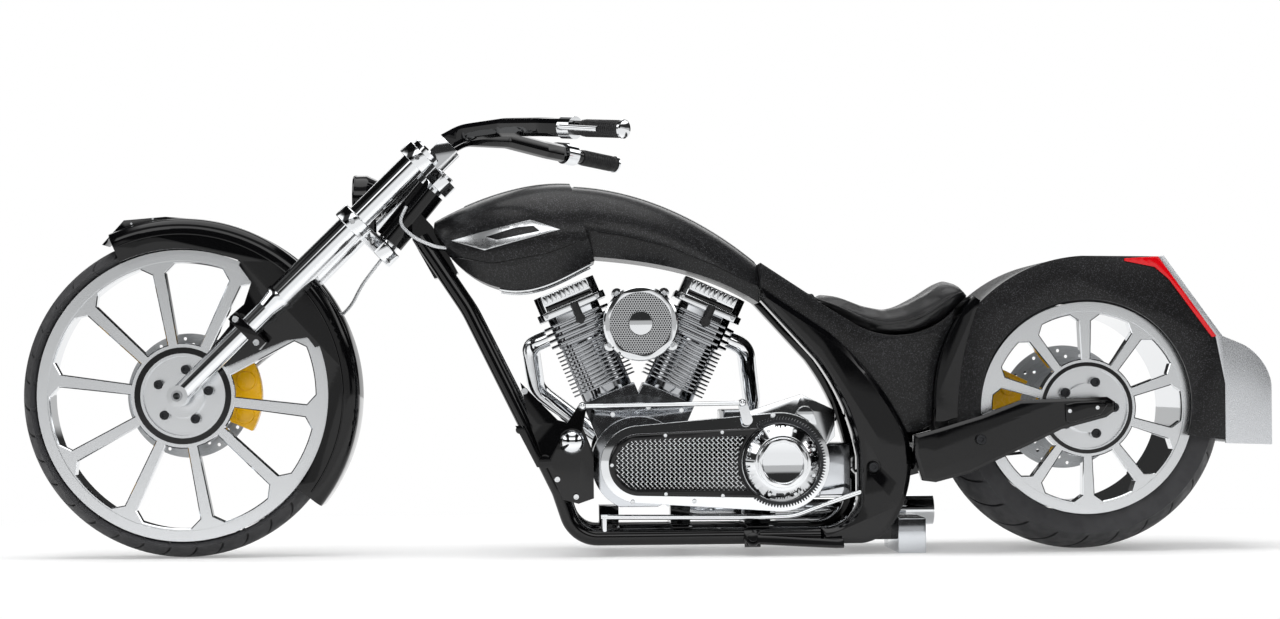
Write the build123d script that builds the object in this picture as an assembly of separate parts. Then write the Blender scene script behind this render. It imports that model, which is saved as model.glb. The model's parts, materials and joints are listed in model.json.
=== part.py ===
from build123d import *
import os
from collections import namedtuple
from math import acos, asin, atan2, cos, degrees, hypot, pi, radians, sin, tan

os.makedirs("parts", exist_ok=True)

# Long, low V-twin cruiser. Millimetres, +X to the tail, +Y to the rider's right, +Z up,
# floor at Z 0, the origin on the floor under the middle of the machine.

# Clearances
SEAT_GAP = 0.2
RUN_FIT = 0.08
BODY_GAP = 0.3

# Wheels: hub centre, tyre, rim, spokes and hub of each
Wheel = namedtuple("Wheel", "x z tyre_half shoulder_drop barrel_r barrel_wall bead_half lip_h lip_t "
                   "spoke_y0 spoke_y1 window_in window_web window_corner spoke_in spoke_out "
                   "corner_deg first_deg hub_r hub_y0 hub_y1 axle_r")
FRONT = Wheel(x=-1052.0, z=375.0, tyre_half=65.0, shoulder_drop=26.0, barrel_r=312.0,
              barrel_wall=14.0, bead_half=46.0, lip_h=10.0, lip_t=7.0, spoke_y0=-50.0, spoke_y1=-24.0,
              window_in=122.0, window_web=6.0, window_corner=20.0, spoke_in=12.5, spoke_out=15.0,
              corner_deg=10.5, first_deg=10.5, hub_r=50.0, hub_y0=-60.0, hub_y1=60.0, axle_r=12.5)
REAR = Wheel(x=1015.0, z=326.5, tyre_half=140.0, shoulder_drop=42.0, barrel_r=220.0,
             barrel_wall=11.0, bead_half=122.0, lip_h=10.0, lip_t=8.0, spoke_y0=-128.0, spoke_y1=-98.0,
             window_in=112.0, window_web=6.0, window_corner=16.0, spoke_in=11.0, spoke_out=14.0,
             corner_deg=9.0, first_deg=0.6, hub_r=55.0, hub_y0=-136.0, hub_y1=138.0, axle_r=15.0)
SPOKES = 10
HUB_BOLTS = 5
HUB_BOLT_PCD_R = 61.0
HUB_BOLT_R = 10.0
HUB_BOLT_H = 9.0
HUB_RECESS_R = 92.0
HUB_RECESS_D = 8.0
WINDOW_EDGE = 2.5
DISC_R = 146.0
DISC_T = 5.0
DISC_HOLE_R = 4.0
DISC_HOLES = 14
DISC_RINGS = (106.0, 120.0, 134.0)

# Fork: legs rise from the front axle, raked back; n runs square to the legs, rearward and down
FORK_RAKE = 45.93
LEG_Y = 115.0
LEG_R = 29.0
LEG_TOP = 786.0
LEG_STEP = 283.0
LEG_TAPER = 35.0
SLIM_R = 22.5
LOWER_CLAMP_S = (545.0, 580.0)
UPPER_CLAMP_S = (752.0, 784.0)
CLAMP_R = 42.0
# Steering axis: a point on it and its own rake
STEER_X = -514.5
STEER_Z = 802.5
STEER_RAKE = 40.0
STEM_R = 25.92
NECK_BORE_R = STEM_R + RUN_FIT
NECK_R = 35.0
NECK_T = (-95.0, 57.0)
STEM_T = (-120.0, 108.0)

# Frame tubes
RAIL_Y = 130.0
RAIL_R = 19.0
RAIL_Z = 44.0
RAIL_X = (-40.0, 405.0)

# Boots and seat
BOOT_Y = (88.0, 150.0)
PAN_HALF = 120.0
# Rear fender
FENDER_Y = (150.0, 158.0)
FENDER_R = 345.0
FENDER_SKIN = 8.0

# Swingarm
LEFT_ARM_Y = (-205.0, -165.0)
RIGHT_ARM_Y = (194.0, 234.0)
PIVOT_X = 526.0
PIVOT_Z = 198.0
PIVOT_R = 34.0

# Engine
CRANK_X = -4.0
CRANK_Z = 209.0
CLUTCH_X = 316.0
CLUTCH_Z = 211.0
CYL_TILT = (-22.5, 24.5)
CYL_BASE = 176.0
CYL_TOP = 312.0
HEAD_TOP = 384.0
ROCKER_TOP = 440.0

# Final drive
PULLEY_R = 98.0
PULLEY_Y = (160.0, 188.0)
SPROCKET_R = 46.0
BELT_Y = (161.0, 187.0)
BELT_T = 6.0
BELT_CLEAR = 2.5


def side(points):
    return make_face(Polyline(*points, close=True))


def outline(*edges):
    return make_face(Wire(list(edges)))


def slab(face, y0, y1):
    return extrude(Plane.XZ.offset(-y1) * face, y1 - y0)


def eased(face, y0, y1, edge):
    # A slab whose outer face, at y1, is sloped in round its edge
    inset = offset(face, amount=-edge, kind=Kind.INTERSECTION)
    rim = loft([Plane.XZ.offset(edge - y1) * face, Plane.XZ.offset(-y1) * inset], ruled=True)
    return slab(face, y0, y1 - edge) + rim


def shaft(x, z, r, y0, y1):
    return Pos(x, (y0 + y1) / 2, z) * Rot(90, 0, 0) * Cylinder(r, y1 - y0)


def tube(points, radii, r):
    if len(points) == 2:
        path = Line(*points)
    else:
        path = FilletPolyline(*points, radius=radii)
    return sweep(Plane(origin=path @ 0, z_dir=path % 0) * Circle(r), path=path)


def mirrored(shape):
    return mirror(shape, about=Plane.XZ)


def group(*shapes):
    solids = []
    for shape in shapes:
        solids += list(shape.solids())
    return Compound(solids)


def both(shape):
    return group(shape, mirrored(shape))


def hull2(x1, z1, r1, x2, z2, r2):
    # Outline of an open belt round two circles
    run = hypot(x2 - x1, z2 - z1)
    lean = atan2(z2 - z1, x2 - x1)
    wrap = acos((r1 - r2) / run)

    def at(x, z, r, turn):
        return (x + r * cos(lean + turn), z + r * sin(lean + turn))

    a1 = at(x1, z1, r1, wrap)
    a2 = at(x1, z1, r1, -wrap)
    b1 = at(x2, z2, r2, wrap)
    b2 = at(x2, z2, r2, -wrap)
    return outline(Line(a1, b1), ThreePointArc(b1, at(x2, z2, r2, 0), b2), Line(b2, a2),
                   ThreePointArc(a2, at(x1, z1, r1, pi), a1))


def polar(r, deg):
    return (r * cos(radians(deg)), r * sin(radians(deg)))


def front_at(dx, dz):
    return (FRONT.x + dx, FRONT.z + dz)


def rear_at(dx, dz):
    return (REAR.x + dx, REAR.z + dz)


def pivot_at(dx, dz):
    return (PIVOT_X + dx, PIVOT_Z + dz)


# Cords: each bend takes most of the shorter run beside it
BEND_SHARE = 0.45


def cord(points, r):
    radii = []
    for a, b, c in zip(points, points[1:], points[2:]):
        into = Vector(b) - Vector(a)
        away = Vector(c) - Vector(b)
        turn = radians(into.get_angle(away))
        radii.append(BEND_SHARE * min(into.length, away.length) / tan(turn / 2))
    print("bend radii", [round(radius) for radius in radii])
    return tube(points, radii, r)


# Local frames: z runs up the fork leg or the steering axis, x rearward and down, y to the right
def raked(x, z, rake):
    return Plane(origin=(x, 0, z), x_dir=(cos(radians(rake)), 0, -sin(radians(rake))),
                 z_dir=(sin(radians(rake)), 0, cos(radians(rake))))


FORK = raked(FRONT.x, FRONT.z, FORK_RAKE)
STEER = raked(STEER_X, STEER_Z, STEER_RAKE)


def fork_cyl(n, y, s0, s1, r):
    return FORK * (Pos(n, y, (s0 + s1) / 2) * Cylinder(r, s1 - s0))


def steer_cyl(t0, t1, r):
    return STEER * (Pos(0, 0, (t0 + t1) / 2) * Cylinder(r, t1 - t0))


def fork_slab(points, y0, y1):
    # Outline in (n, s) drawn out between two Y values
    face = make_face(Polyline(*[(n, 0, s) for n, s in points], close=True))
    return FORK * (Pos(0, y0, 0) * extrude(face, y1 - y0, dir=(0, 1, 0)))


def bead_r(w):
    return w.barrel_r + w.barrel_wall


def lip_r(w):
    return bead_r(w) + w.lip_h


# Tyres: a crown of straight bands, each as (share of half width, share of shoulder drop), then wall and bead
CROWN = ((0.2, 0.0), (0.62, 0.28), (1.0, 1.0))
BEAD_STEP = 2.0


def tyre(w):
    lip = lip_r(w) + BEAD_STEP
    half = [(w.z - w.shoulder_drop * drop, w.tyre_half * share) for share, drop in CROWN]
    half += [(lip, w.bead_half), (bead_r(w), w.bead_half)]
    section = side(half + [(r, -y) for r, y in reversed(half)])
    return Pos(w.x, 0, w.z) * revolve(section, Axis.Y)


# Spoked wheel: barrel with lips, a face plate cut by ten windows, stepped hub with bolts
def spoked_wheel(w):
    seat = bead_r(w) - SEAT_GAP
    window_out = w.barrel_r - w.window_web
    window_cut = window_out - w.window_corner
    wall = w.bead_half + SEAT_GAP
    lip_y = wall + w.lip_t
    barrel = revolve(side([(w.barrel_r, -lip_y), (lip_r(w), -lip_y), (lip_r(w), -wall), (seat, -wall),
                           (seat, wall), (lip_r(w), wall), (lip_r(w), lip_y), (w.barrel_r, lip_y)]), Axis.Y)
    plate = shaft(0, 0, w.barrel_r + 1.0, w.spoke_y0, w.spoke_y1)
    half = 180.0 / SPOKES
    near = half - degrees(asin(w.spoke_in / w.window_in))
    far = half - degrees(asin(w.spoke_out / window_cut))
    window = outline(
        ThreePointArc(polar(w.window_in, -near), (w.window_in, 0), polar(w.window_in, near)),
        Line(polar(w.window_in, near), polar(window_cut, far)),
        Line(polar(window_cut, far), polar(window_out, w.corner_deg)),
        ThreePointArc(polar(window_out, w.corner_deg), (window_out, 0), polar(window_out, -w.corner_deg)),
        Line(polar(window_out, -w.corner_deg), polar(window_cut, -far)),
        Line(polar(window_cut, -far), polar(w.window_in, -near)))
    windows = [slab(Rot(0, 0, w.first_deg + i * 360.0 / SPOKES) * window, w.spoke_y0 - 1, w.spoke_y1 + 1)
               for i in range(SPOKES)]
    plate -= windows
    face = plate.faces().sort_by(Axis.Y)[0]
    plate = chamfer([e for wire in face.inner_wires() for e in wire.edges()], WINDOW_EDGE)
    plate -= shaft(0, 0, HUB_RECESS_R, w.spoke_y0 - 1, w.spoke_y0 + HUB_RECESS_D)
    hub = shaft(0, 0, w.hub_r, w.hub_y0, w.hub_y1)
    bolts = []
    for i in range(HUB_BOLTS):
        x, z = polar(HUB_BOLT_PCD_R, w.first_deg + i * 360.0 / HUB_BOLTS)
        bolts.append(shaft(x, z, HUB_BOLT_R, w.spoke_y0 - 1.0, w.spoke_y0 + HUB_RECESS_D))
    wheel = barrel + plate + hub + bolts
    wheel -= shaft(0, 0, w.axle_r + RUN_FIT, w.hub_y0 - 1, w.hub_y1 + 1)
    return Pos(w.x, 0, w.z) * wheel


def brake_disc(w, y0):
    disc = shaft(0, 0, DISC_R, y0, y0 + DISC_T) - shaft(0, 0, w.axle_r + 4.0, y0 - 1, y0 + DISC_T + 1)
    holes = []
    for row, r in enumerate(DISC_RINGS):
        for i in range(DISC_HOLES):
            x, z = polar(r, (i + row / 3.0) * 360.0 / DISC_HOLES)
            holes.append(shaft(x, z, DISC_HOLE_R, y0 - 1, y0 + DISC_T + 1))
    return Pos(w.x, 0, w.z) * (disc - holes)


front_tyre = tyre(FRONT)
rear_tyre = tyre(REAR)
front_wheel = spoked_wheel(FRONT)
rear_wheel = spoked_wheel(REAR)
front_disc = brake_disc(FRONT, FRONT.hub_y1)
rear_disc = brake_disc(REAR, REAR.hub_y1)

# Hollow front axle with collars against the fork legs
AXLE_BORE_R = 8.0
AXLE_HALF = LEG_Y + SLIM_R + 4.0
COLLAR_R = 18.0
front_axle = (shaft(FRONT.x, FRONT.z, FRONT.axle_r, -AXLE_HALF, AXLE_HALF)
              + shaft(FRONT.x, FRONT.z, COLLAR_R, -LEG_Y + SLIM_R + SEAT_GAP, FRONT.hub_y0 - 1.0)
              + shaft(FRONT.x, FRONT.z, COLLAR_R, FRONT.hub_y1 + DISC_T + 1.5, LEG_Y - SLIM_R - SEAT_GAP))
front_axle -= shaft(FRONT.x, FRONT.z, AXLE_BORE_R, -AXLE_HALF - 1, AXLE_HALF + 1)

# Fork legs: slim lower leg with a rounded axle end, then a taper into the large tube
AXLE_EYE_R = 24.0
CAP_H = 14.0
CAP_LIP = 4.0
slim = fork_cyl(0, LEG_Y, -2.0, LEG_STEP, SLIM_R)
eye = shaft(FRONT.x, FRONT.z, AXLE_EYE_R, LEG_Y - SLIM_R, LEG_Y + SLIM_R)
taper = FORK * (Pos(0, LEG_Y, LEG_STEP + LEG_TAPER / 2) * Cone(SLIM_R, LEG_R, LEG_TAPER))
upper = fork_cyl(0, LEG_Y, LEG_STEP + LEG_TAPER, LEG_TOP, LEG_R)
cap = fork_cyl(0, LEG_Y, LEG_TOP, LEG_TOP + CAP_H, LEG_R + CAP_LIP)
cap = chamfer(cap.edges().sort_by(Axis.Z)[-1], CAP_LIP)
leg = slim + eye + taper + upper + cap
leg -= shaft(FRONT.x, FRONT.z, FRONT.axle_r + SEAT_GAP, LEG_Y - 40, LEG_Y + 40)
fork_legs = both(leg)


# Clamps: a ring round each leg, joined to the stem's ring by two arms
ARM_HALF = 18.0


def clamp_plate(s0, s1, stem_n, stem_r):
    run = hypot(stem_n, LEG_Y)
    lean = degrees(atan2(-LEG_Y, stem_n))
    arm = Pos(stem_n / 2, LEG_Y / 2) * Rot(0, 0, lean) * Rectangle(run, 2 * ARM_HALF)
    ring = Pos(0, LEG_Y) * Circle(CLAMP_R)
    half = extrude(arm, s1 - s0) + extrude(ring, s1 - s0)
    stem = extrude(Pos(stem_n, 0) * Circle(stem_r), s1 - s0)
    return FORK * (Pos(0, 0, s0) * (half + mirrored(half) + stem))


def stem_n(s):
    # Where the steering axis crosses the fork frame at height s
    lean = radians(FORK_RAKE - STEER_RAKE)
    dx = STEER_X - FRONT.x
    dz = STEER_Z - FRONT.z
    rake = radians(FORK_RAKE)
    s_mid = dx * sin(rake) + dz * cos(rake)
    n_mid = dx * cos(rake) - dz * sin(rake)
    return n_mid - (s - s_mid) * sin(lean) / cos(lean)


leg_bores = both(fork_cyl(0, LEG_Y, 400, 900, LEG_R + SEAT_GAP))
lower_mid = sum(LOWER_CLAMP_S) / 2
upper_mid = sum(UPPER_CLAMP_S) / 2
lower_clamp = clamp_plate(*LOWER_CLAMP_S, stem_n(lower_mid), 40.0)
lower_clamp = lower_clamp - leg_bores + steer_cyl(*STEM_T, STEM_R)
upper_clamp = clamp_plate(*UPPER_CLAMP_S, stem_n(upper_mid), 40.0)
upper_clamp = upper_clamp - leg_bores - steer_cyl(0, 200, STEM_R + SEAT_GAP)

# Steering neck of the frame round the stem
neck = steer_cyl(*NECK_T, NECK_R) - steer_cyl(NECK_T[0] - 1, NECK_T[1] + 1, NECK_BORE_R)

# Handlebar: two risers, swept-back bars, grips, levers
RISER_Y = 52.0
RISER_N = (0.0, 44.0)
RISER_S = (UPPER_CLAMP_S[1], 846.0)
RISER_HALF = 20.0
BAR_R = 16.0
GRIP_R = 18.5
BEAM_TALL = 40.0
BEAM_WIDE = 31.0
BEAM_CORNER = 9.0
BEAM_STOP = 62.0
riser = fork_slab([(RISER_N[0], RISER_S[0]), (RISER_N[1], RISER_S[0]), (RISER_N[1], RISER_S[1]),
                   (RISER_N[0], RISER_S[1])], RISER_Y - RISER_HALF, RISER_Y + RISER_HALF)
riser -= steer_cyl(0, 200, STEM_R + 2.0)
risers = both(riser)
BAR_ROUTE = [(-455.0, RISER_Y, 945.0), (-400.0, RISER_Y, 974.0), (-305.0, 140.0, 977.0),
             (-215.0, 262.0, 964.0), (-126.0, 344.0, 952.0)]
BAR_BENDS = [45.0, 70.0, 60.0]
GRIP_L = 115.0
GRIP_RUN = tuple(b - a for a, b in zip(BAR_ROUTE[-2], BAR_ROUTE[-1]))
GRIP_DIR = tuple(d / sum(c * c for c in GRIP_RUN) ** 0.5 for d in GRIP_RUN)
beam_end = tuple(a - BEAM_STOP * d for a, d in zip(BAR_ROUTE[-1], GRIP_DIR))
beam_path = FilletPolyline(*BAR_ROUTE[:-1], beam_end, radius=BAR_BENDS)
beam_face = chamfer(Rectangle(BEAM_WIDE, BEAM_TALL).vertices(), BEAM_CORNER)
beam_start = Plane(origin=beam_path @ 0, x_dir=(0, 1, 0), z_dir=beam_path % 0)
bar_half = sweep(beam_start * beam_face, path=beam_path)
GRIP_PLANE = Plane(origin=BAR_ROUTE[-1], z_dir=GRIP_DIR)
bar_half += GRIP_PLANE * (Pos(0, 0, -BEAM_STOP / 2) * Cylinder(BAR_R, BEAM_STOP))
bar_half -= fork_slab([(-60, 700), (120, 700), (120, RISER_S[1]), (-60, RISER_S[1])], 0, 130)
bar_cross = Pos(-400.0, 0, 974.0) * Rot(90, 0, 0) * Cylinder(BAR_R, 2 * RISER_Y)
handlebar = bar_half + mirrored(bar_half) + bar_cross
grip = GRIP_PLANE * (Pos(0, 0, GRIP_L / 2) * Cylinder(GRIP_R, GRIP_L))
grips = both(grip)

# Headlight: a round shell between the legs, on a post from the lower clamp
LAMP_R = 56.0
LAMP_BACK_R = 40.0
LAMP_X = (-652.0, -625.0, -592.0)
LAMP_Z = 826.0
LENS_R = 49.0
LENS_T = 8.0
LAMP_POST_X = -614.0
LAMP_POST_R = 9.0


def drum(x0, x1, z, r):
    return Pos((x0 + x1) / 2, 0, z) * Rot(0, 90, 0) * Cylinder(r, x1 - x0)


headlight = drum(LAMP_X[0], LAMP_X[1], LAMP_Z, LAMP_R)
headlight += Pos((LAMP_X[1] + LAMP_X[2]) / 2, 0, LAMP_Z) * Rot(0, 90, 0) * Cone(
    LAMP_R, LAMP_BACK_R, LAMP_X[2] - LAMP_X[1])
headlight += Pos(LAMP_POST_X, 0, LAMP_Z - 60.0) * Cylinder(LAMP_POST_R, 60.0)
headlight = headlight - drum(LAMP_X[0] - 1, LAMP_X[0] + LENS_T, LAMP_Z, LENS_R + SEAT_GAP) - lower_clamp
headlight = headlight.solids().sort_by(SortBy.VOLUME)[-1]
lens = drum(LAMP_X[0] - 2.0, LAMP_X[0] + LENS_T, LAMP_Z, LENS_R)

# Front fender: a turned channel round the tyre with a beak at its nose
FF_R = 409.0
FF_HALF = 79.0
FF_WALL = 5.0
FF_ROUND = 28.0
FF_SKIRT_R = 338.0
FF_FROM = -39.0
FF_TO = 114.0


def channel(r, half, round_r, low):
    return [Line((low, -half), (r - round_r, -half)),
            RadiusArc((r - round_r, -half), (r, -half + round_r), -round_r),
            Line((r, -half + round_r), (r, half - round_r)),
            RadiusArc((r, half - round_r), (r - round_r, half), -round_r),
            Line((r - round_r, half), (low, half)),
            Line((low, half), (low, -half))]


ff_section = outline(*channel(FF_R, FF_HALF, FF_ROUND, FF_SKIRT_R)) - outline(
    *channel(FF_R - FF_WALL, FF_HALF - FF_WALL, FF_ROUND - FF_WALL, FF_SKIRT_R - 1.0))
fender = Rot(0, -FF_FROM, 0) * revolve(ff_section, Axis.Y, FF_FROM - FF_TO)
front_fender = Pos(FRONT.x, 0, FRONT.z) * fender
FF_ARM_R = 345.0
FF_ARM_DEG = (65.5, 42.0, 19.3)
FF_ARM = ((136, 298), (164, 259), (147, 209), (114, 181), (113, 159), (58, 93), (103, 65), (203, 109),
          (242, 125), (292, 131), (309, 108))
arm_arc = [front_at(*polar(FF_ARM_R, deg)) for deg in FF_ARM_DEG]
arm_line = [arm_arc[0], *[front_at(x, z) for x, z in FF_ARM], arm_arc[2]]
arm_face = outline(*[Line(a, b) for a, b in zip(arm_line, arm_line[1:])], ThreePointArc(*reversed(arm_arc)))
fender_arm = slab(arm_face, FF_HALF - FF_WALL, FF_HALF)
BEAK_HALF = 50.0
BEAK = ((FF_R, 82.0), (FF_R + 6.0, 95.0), (FF_R + 18.0, 108.0), (FF_R - 14.0, 117.6))
beak_low = [polar(FF_R - FF_WALL / 2, deg) for deg in (112.0, 97.0, 82.0)]
beak_line = [beak_low[2], *[polar(r, deg) for r, deg in BEAK], beak_low[0]]
beak_face = outline(*[Line(a, b) for a, b in zip(beak_line, beak_line[1:])], ThreePointArc(*beak_low))
beak = Pos(FRONT.x, 0, FRONT.z) * slab(beak_face, -BEAK_HALF, BEAK_HALF)
front_fender = front_fender + fender_arm + mirrored(fender_arm) + beak
fender_clamp = fork_slab([(-42, 206), (56, 206), (56, 230), (-42, 230)], FF_HALF, LEG_Y + SLIM_R + 6.0)
fender_clamp -= fork_cyl(0, LEG_Y, 150, 300, SLIM_R + SEAT_GAP)
fender_clamps = both(fender_clamp)

# Front caliper: straddles the disc behind the axle, carried from the right leg
disc_mid = FRONT.hub_y1 + DISC_T / 2
CALIPER_Y = (disc_mid - 17.0, disc_mid + 17.0)
PISTON_DEG = (-19.0, 14.0)
PISTON_AT_R = 138.0
PISTON_R = 22.0
PISTON_H = 5.0
caliper_face = outline(
    Line(polar(104, -34), polar(170, -30)),
    ThreePointArc(polar(170, -30), polar(170, 0), polar(170, 26)),
    Line(polar(170, 26), polar(104, 30)),
    ThreePointArc(polar(104, 30), polar(104, 0), polar(104, -34)))


def caliper_at(w, y0, y1, mid, turn):
    body = slab(Rot(0, 0, turn) * caliper_face, y0, y1)
    body -= shaft(0, 0, DISC_R + 2.0, mid - DISC_T / 2 - 1.5, mid + DISC_T / 2 + 1.5)
    for deg in PISTON_DEG:
        x, z = polar(PISTON_AT_R, deg + turn)
        body += shaft(x, z, PISTON_R, y0 - PISTON_H, y0)
    return Pos(w.x, 0, w.z) * body


front_caliper = caliper_at(FRONT, *CALIPER_Y, disc_mid, 0)
caliper_arm = fork_slab([(-10, 70), (104, 62), (104, 112), (-10, 125)], CALIPER_Y[1], LEG_Y + 12.0)
caliper_arm -= fork_cyl(0, LEG_Y, 0, 250, SLIM_R + SEAT_GAP)
front_caliper_arm = caliper_arm.solids().sort_by(Axis.X)[-1]

# Front brake hose: from a banjo on the caliper, up outside the fender, to the lower clamp
HOSE_R = 4.0
BANJO_R = 8.0
BANJO_AT = (141.0, 51.0)
HOSE = ((150, 66, 86), (190, 99, 86), (262, 140, 88), (337, 170, 86), (380, 205, 70), (407, 255, 48),
        (455.5, 312, 15))
hose_route = [(FRONT.x + dx, y, FRONT.z + dz) for dx, dz, y in HOSE]
hose = cord(hose_route, HOSE_R)
banjo_x, banjo_z = front_at(*BANJO_AT)
banjo_y = hose_route[0][1]
hose += shaft(banjo_x, banjo_z, BANJO_R, CALIPER_Y[1], banjo_y + BANJO_R)
hose += tube([(banjo_x, banjo_y, banjo_z), hose_route[0]], [], HOSE_R + 1.0)
hose_top = LOWER_CLAMP_S[0] - BODY_GAP
hose -= fork_slab([(0, hose_top), (160, hose_top), (160, 700), (0, 700)], -60, 60)

# Frame: downtubes spread from the neck and bend into the lower rails
DOWN_ROUTE = [(-500.0, 44.0, 733.0), (-389.0, 70.0, 566.0), (-185.0, RAIL_Y, 150.0), (-150.0, RAIL_Y, RAIL_Z),
              (RAIL_X[0], RAIL_Y, RAIL_Z)]
DOWN_BENDS = [300.0, 60.0, 70.0]
downtube = tube(DOWN_ROUTE, DOWN_BENDS, RAIL_R)
downtubes = both(downtube)
rail = Pos(sum(RAIL_X) / 2, RAIL_Y, RAIL_Z) * Rot(0, 90, 0) * Cylinder(RAIL_R, RAIL_X[1] - RAIL_X[0])
rails = both(rail)
rail_clear = both(Pos(200, RAIL_Y, RAIL_Z) * Rot(0, 90, 0) * Cylinder(RAIL_R + SEAT_GAP, 900))
MOUNT_X = ((-95.0, -50.0), (70.0, 115.0), (240.0, 300.0))
MOUNT_TOP = (110.0, 110.0, 130.0)
mounts = []
for (x0, x1), top in zip(MOUNT_X, MOUNT_TOP):
    bar = Pos((x0 + x1) / 2, 0, 54.0) * Box(x1 - x0, 2 * RAIL_Y, 24.0) - rail_clear
    pad = Pos((x0 + x1) / 2, 0, (66.0 + top) / 2) * Box(x1 - x0, 90.0, top - 66.0)
    mounts.append(bar + pad)
cross_members = group(*mounts)

# Boots: swept covers from the spine's end down to the rails
boot_face = outline(
    Line((276, 578), (397, 444)),
    ThreePointArc((397, 444), (462, 328), (492, 221)),
    Line((492, 221), (492, 125)),
    ThreePointArc((492, 125), (470, 84), (405, 63)),
    Line((405, 63), (405, 25)),
    Line((405, 25), (500, 25)),
    ThreePointArc((500, 25), (545, 42), (579, 82)),
    ThreePointArc((579, 82), (612, 190), (605, 274)),
    ThreePointArc((605, 274), (524, 405), (426, 505)),
    Line((426, 505), (276, 606)),
    Line((276, 606), (276, 578)))
BOOT_EDGE = 12.0
PIVOT_CAP_R = 17.0
PIVOT_CAP_D = 5.0
boot = eased(boot_face, *BOOT_Y, BOOT_EDGE)
boot -= shaft(PIVOT_X, PIVOT_Z, PIVOT_CAP_R, BOOT_Y[1] - PIVOT_CAP_D, BOOT_Y[1] + 1.0)
boots = both(boot)
BLOCK_X = (584.0, 648.0)
REAR_MEMBER_X = 480.0
rear_member = Pos((REAR_MEMBER_X + BLOCK_X[0]) / 2, 0, 55) * Box(
    BLOCK_X[0] - REAR_MEMBER_X, 2 * BOOT_Y[0], 50)

# Parking block under the frame's tail end
BLOCK_TOP = 80.0
BLOCK_HALF = 120.0
parking_block = Pos(sum(BLOCK_X) / 2, 0, BLOCK_TOP / 2) * Box(
    BLOCK_X[1] - BLOCK_X[0], 2 * BLOCK_HALF, BLOCK_TOP)

# Tank: sections across the machine, a domed top over flat flanks
Section = namedtuple("Section", "x top crease low half half_low")
TANK = (Section(-470, 772, 757, 748, 34, 28),
        Section(-430, 793, 705, 686, 86, 68),
        Section(-300, 841, 662, 612, 130, 95),
        Section(-170, 857, 697, 640, 136, 96),
        Section(-60, 840, 745, 686, 124, 92))
SPINE = (Section(-190, 850, 752, 690, 108, 88),
         Section(0, 823, 720, 672, 108, 88),
         Section(130, 768, 680, 643, 100, 85),
         Section(275, 668, 610, 575, 92, 80))


def cut_face(c, grow):
    h = c.half + grow
    hl = c.half_low + grow
    face = outline(
        ThreePointArc((-h, c.crease), (0, c.top + grow), (h, c.crease)),
        Line((h, c.crease), (hl, c.low)),
        Line((hl, c.low), (-hl, c.low)),
        Line((-hl, c.low), (-h, c.crease)))
    return Plane(origin=(c.x, 0, 0), x_dir=(0, 1, 0), z_dir=(1, 0, 0)) * face


def shell(sections, grow=0.0):
    return loft([cut_face(c, grow) for c in sections])


PANEL_SEAM = [(-168.0, 900.0), (-66.0, 560.0)]
front_side = slab(side([(-600, 900), *PANEL_SEAM, (-600, 560)]), -250, 250)
rear_side = slab(side([PANEL_SEAM[0], (500, 900), (500, 560), PANEL_SEAM[1]]), -250, 250)
tank_front = shell(TANK) & front_side
tank_spine = shell(SPINE) & rear_side
vent_face = side([(-428, 724), (-246, 767), (-178, 744), (-351, 699)])
vent_face -= side([(-348, 730), (-277, 750), (-239, 753), (-225, 741), (-323, 722)])
VENT_T = 4.0
vent = (slab(vent_face, 20, 200) & shell(TANK, VENT_T)) - shell(TANK)
tank_vents = both(vent)

# Clutch cable from the neck's left side into the tank's nose
CABLE_R = 4.0
CABLE_ROUTE = [(-533, -37, 806), (-550, -58, 768), (-514, -73, 732), (-462, -74, 710), (-430, -66, 708)]
cable = cord(CABLE_ROUTE, CABLE_R)
cable -= shell(TANK, BODY_GAP)
cable = cable.solids().sort_by(Axis.X)[0]

# Seat and the pan below it
seat_side = outline(
    ThreePointArc((395, 594), (460, 586), (515, 563)),
    ThreePointArc((515, 563), (562, 553), (603, 562)),
    ThreePointArc((603, 562), (654, 588), (698, 620)),
    ThreePointArc((698, 620), (740, 615), (750, 590)),
    Line((750, 590), (718, 556)),
    ThreePointArc((718, 556), (596, 498), (494, 522)),
    Line((494, 522), (408, 575)),
    Line((408, 575), (395, 594)))
seat_plan = make_face(Polyline((380, -64), (540, -118), (650, -140), (770, -126), (770, 126), (650, 140),
                               (540, 118), (380, 64), close=True))
seat = slab(seat_side, -150, 150) & extrude(Pos(0, 0, 400) * seat_plan, 400)
PAN_BACK = [rear_at(-299, 199.5), rear_at(-336, 109.5), rear_at(-348, 3.5), rear_at(-351, -35.5)]
pan_face = outline(
    Line((276, 666), (387, 592)),
    Line((387, 592), (394.7, 593.7)),
    Line((394.7, 593.7), (407.8, 574.7)),
    Line((407.8, 574.7), (493.8, 521.7)),
    ThreePointArc((493.8, 521.7), (596, 497.7), (718, 555.7)),
    Line((718, 555.7), PAN_BACK[0]),
    ThreePointArc(*PAN_BACK[:3]),
    Line(PAN_BACK[2], PAN_BACK[3]),
    Line(PAN_BACK[3], (626, 274)),
    Line((626, 274), (605, 274)),
    ThreePointArc((605, 274), (524, 405), (426, 505)),
    Line((426, 505), (276, 606)),
    Line((276, 606), (276, 666)))
seat_pan = slab(pan_face, -PAN_HALF, PAN_HALF)

# Rear fender, set out from the axle: side plates and a skin that closes over the tyre
ARCH_R = 239.0
ARCH_AT = (-7.0, 8.0)
ARCH_FROM = -17.5
FENDER_DEG = (167.0, 130.0, 92.5)
FENDER_FOOT = -56.5
TAIL_TOP = (157.0, 341.5)
TAIL_HIP = (285.0, 161.5)
TAIL_WAIST = (306.0, 53.5)
TAIL_FOOT = (306.0, -74.5)
TAIL_WALL = 10.0
TAIL_GAP = 0.5
TAIL_REACH = 412.0


def arch(deg):
    x, z = polar(ARCH_R, deg)
    return rear_at(ARCH_AT[0] + x, ARCH_AT[1] + z)


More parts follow.
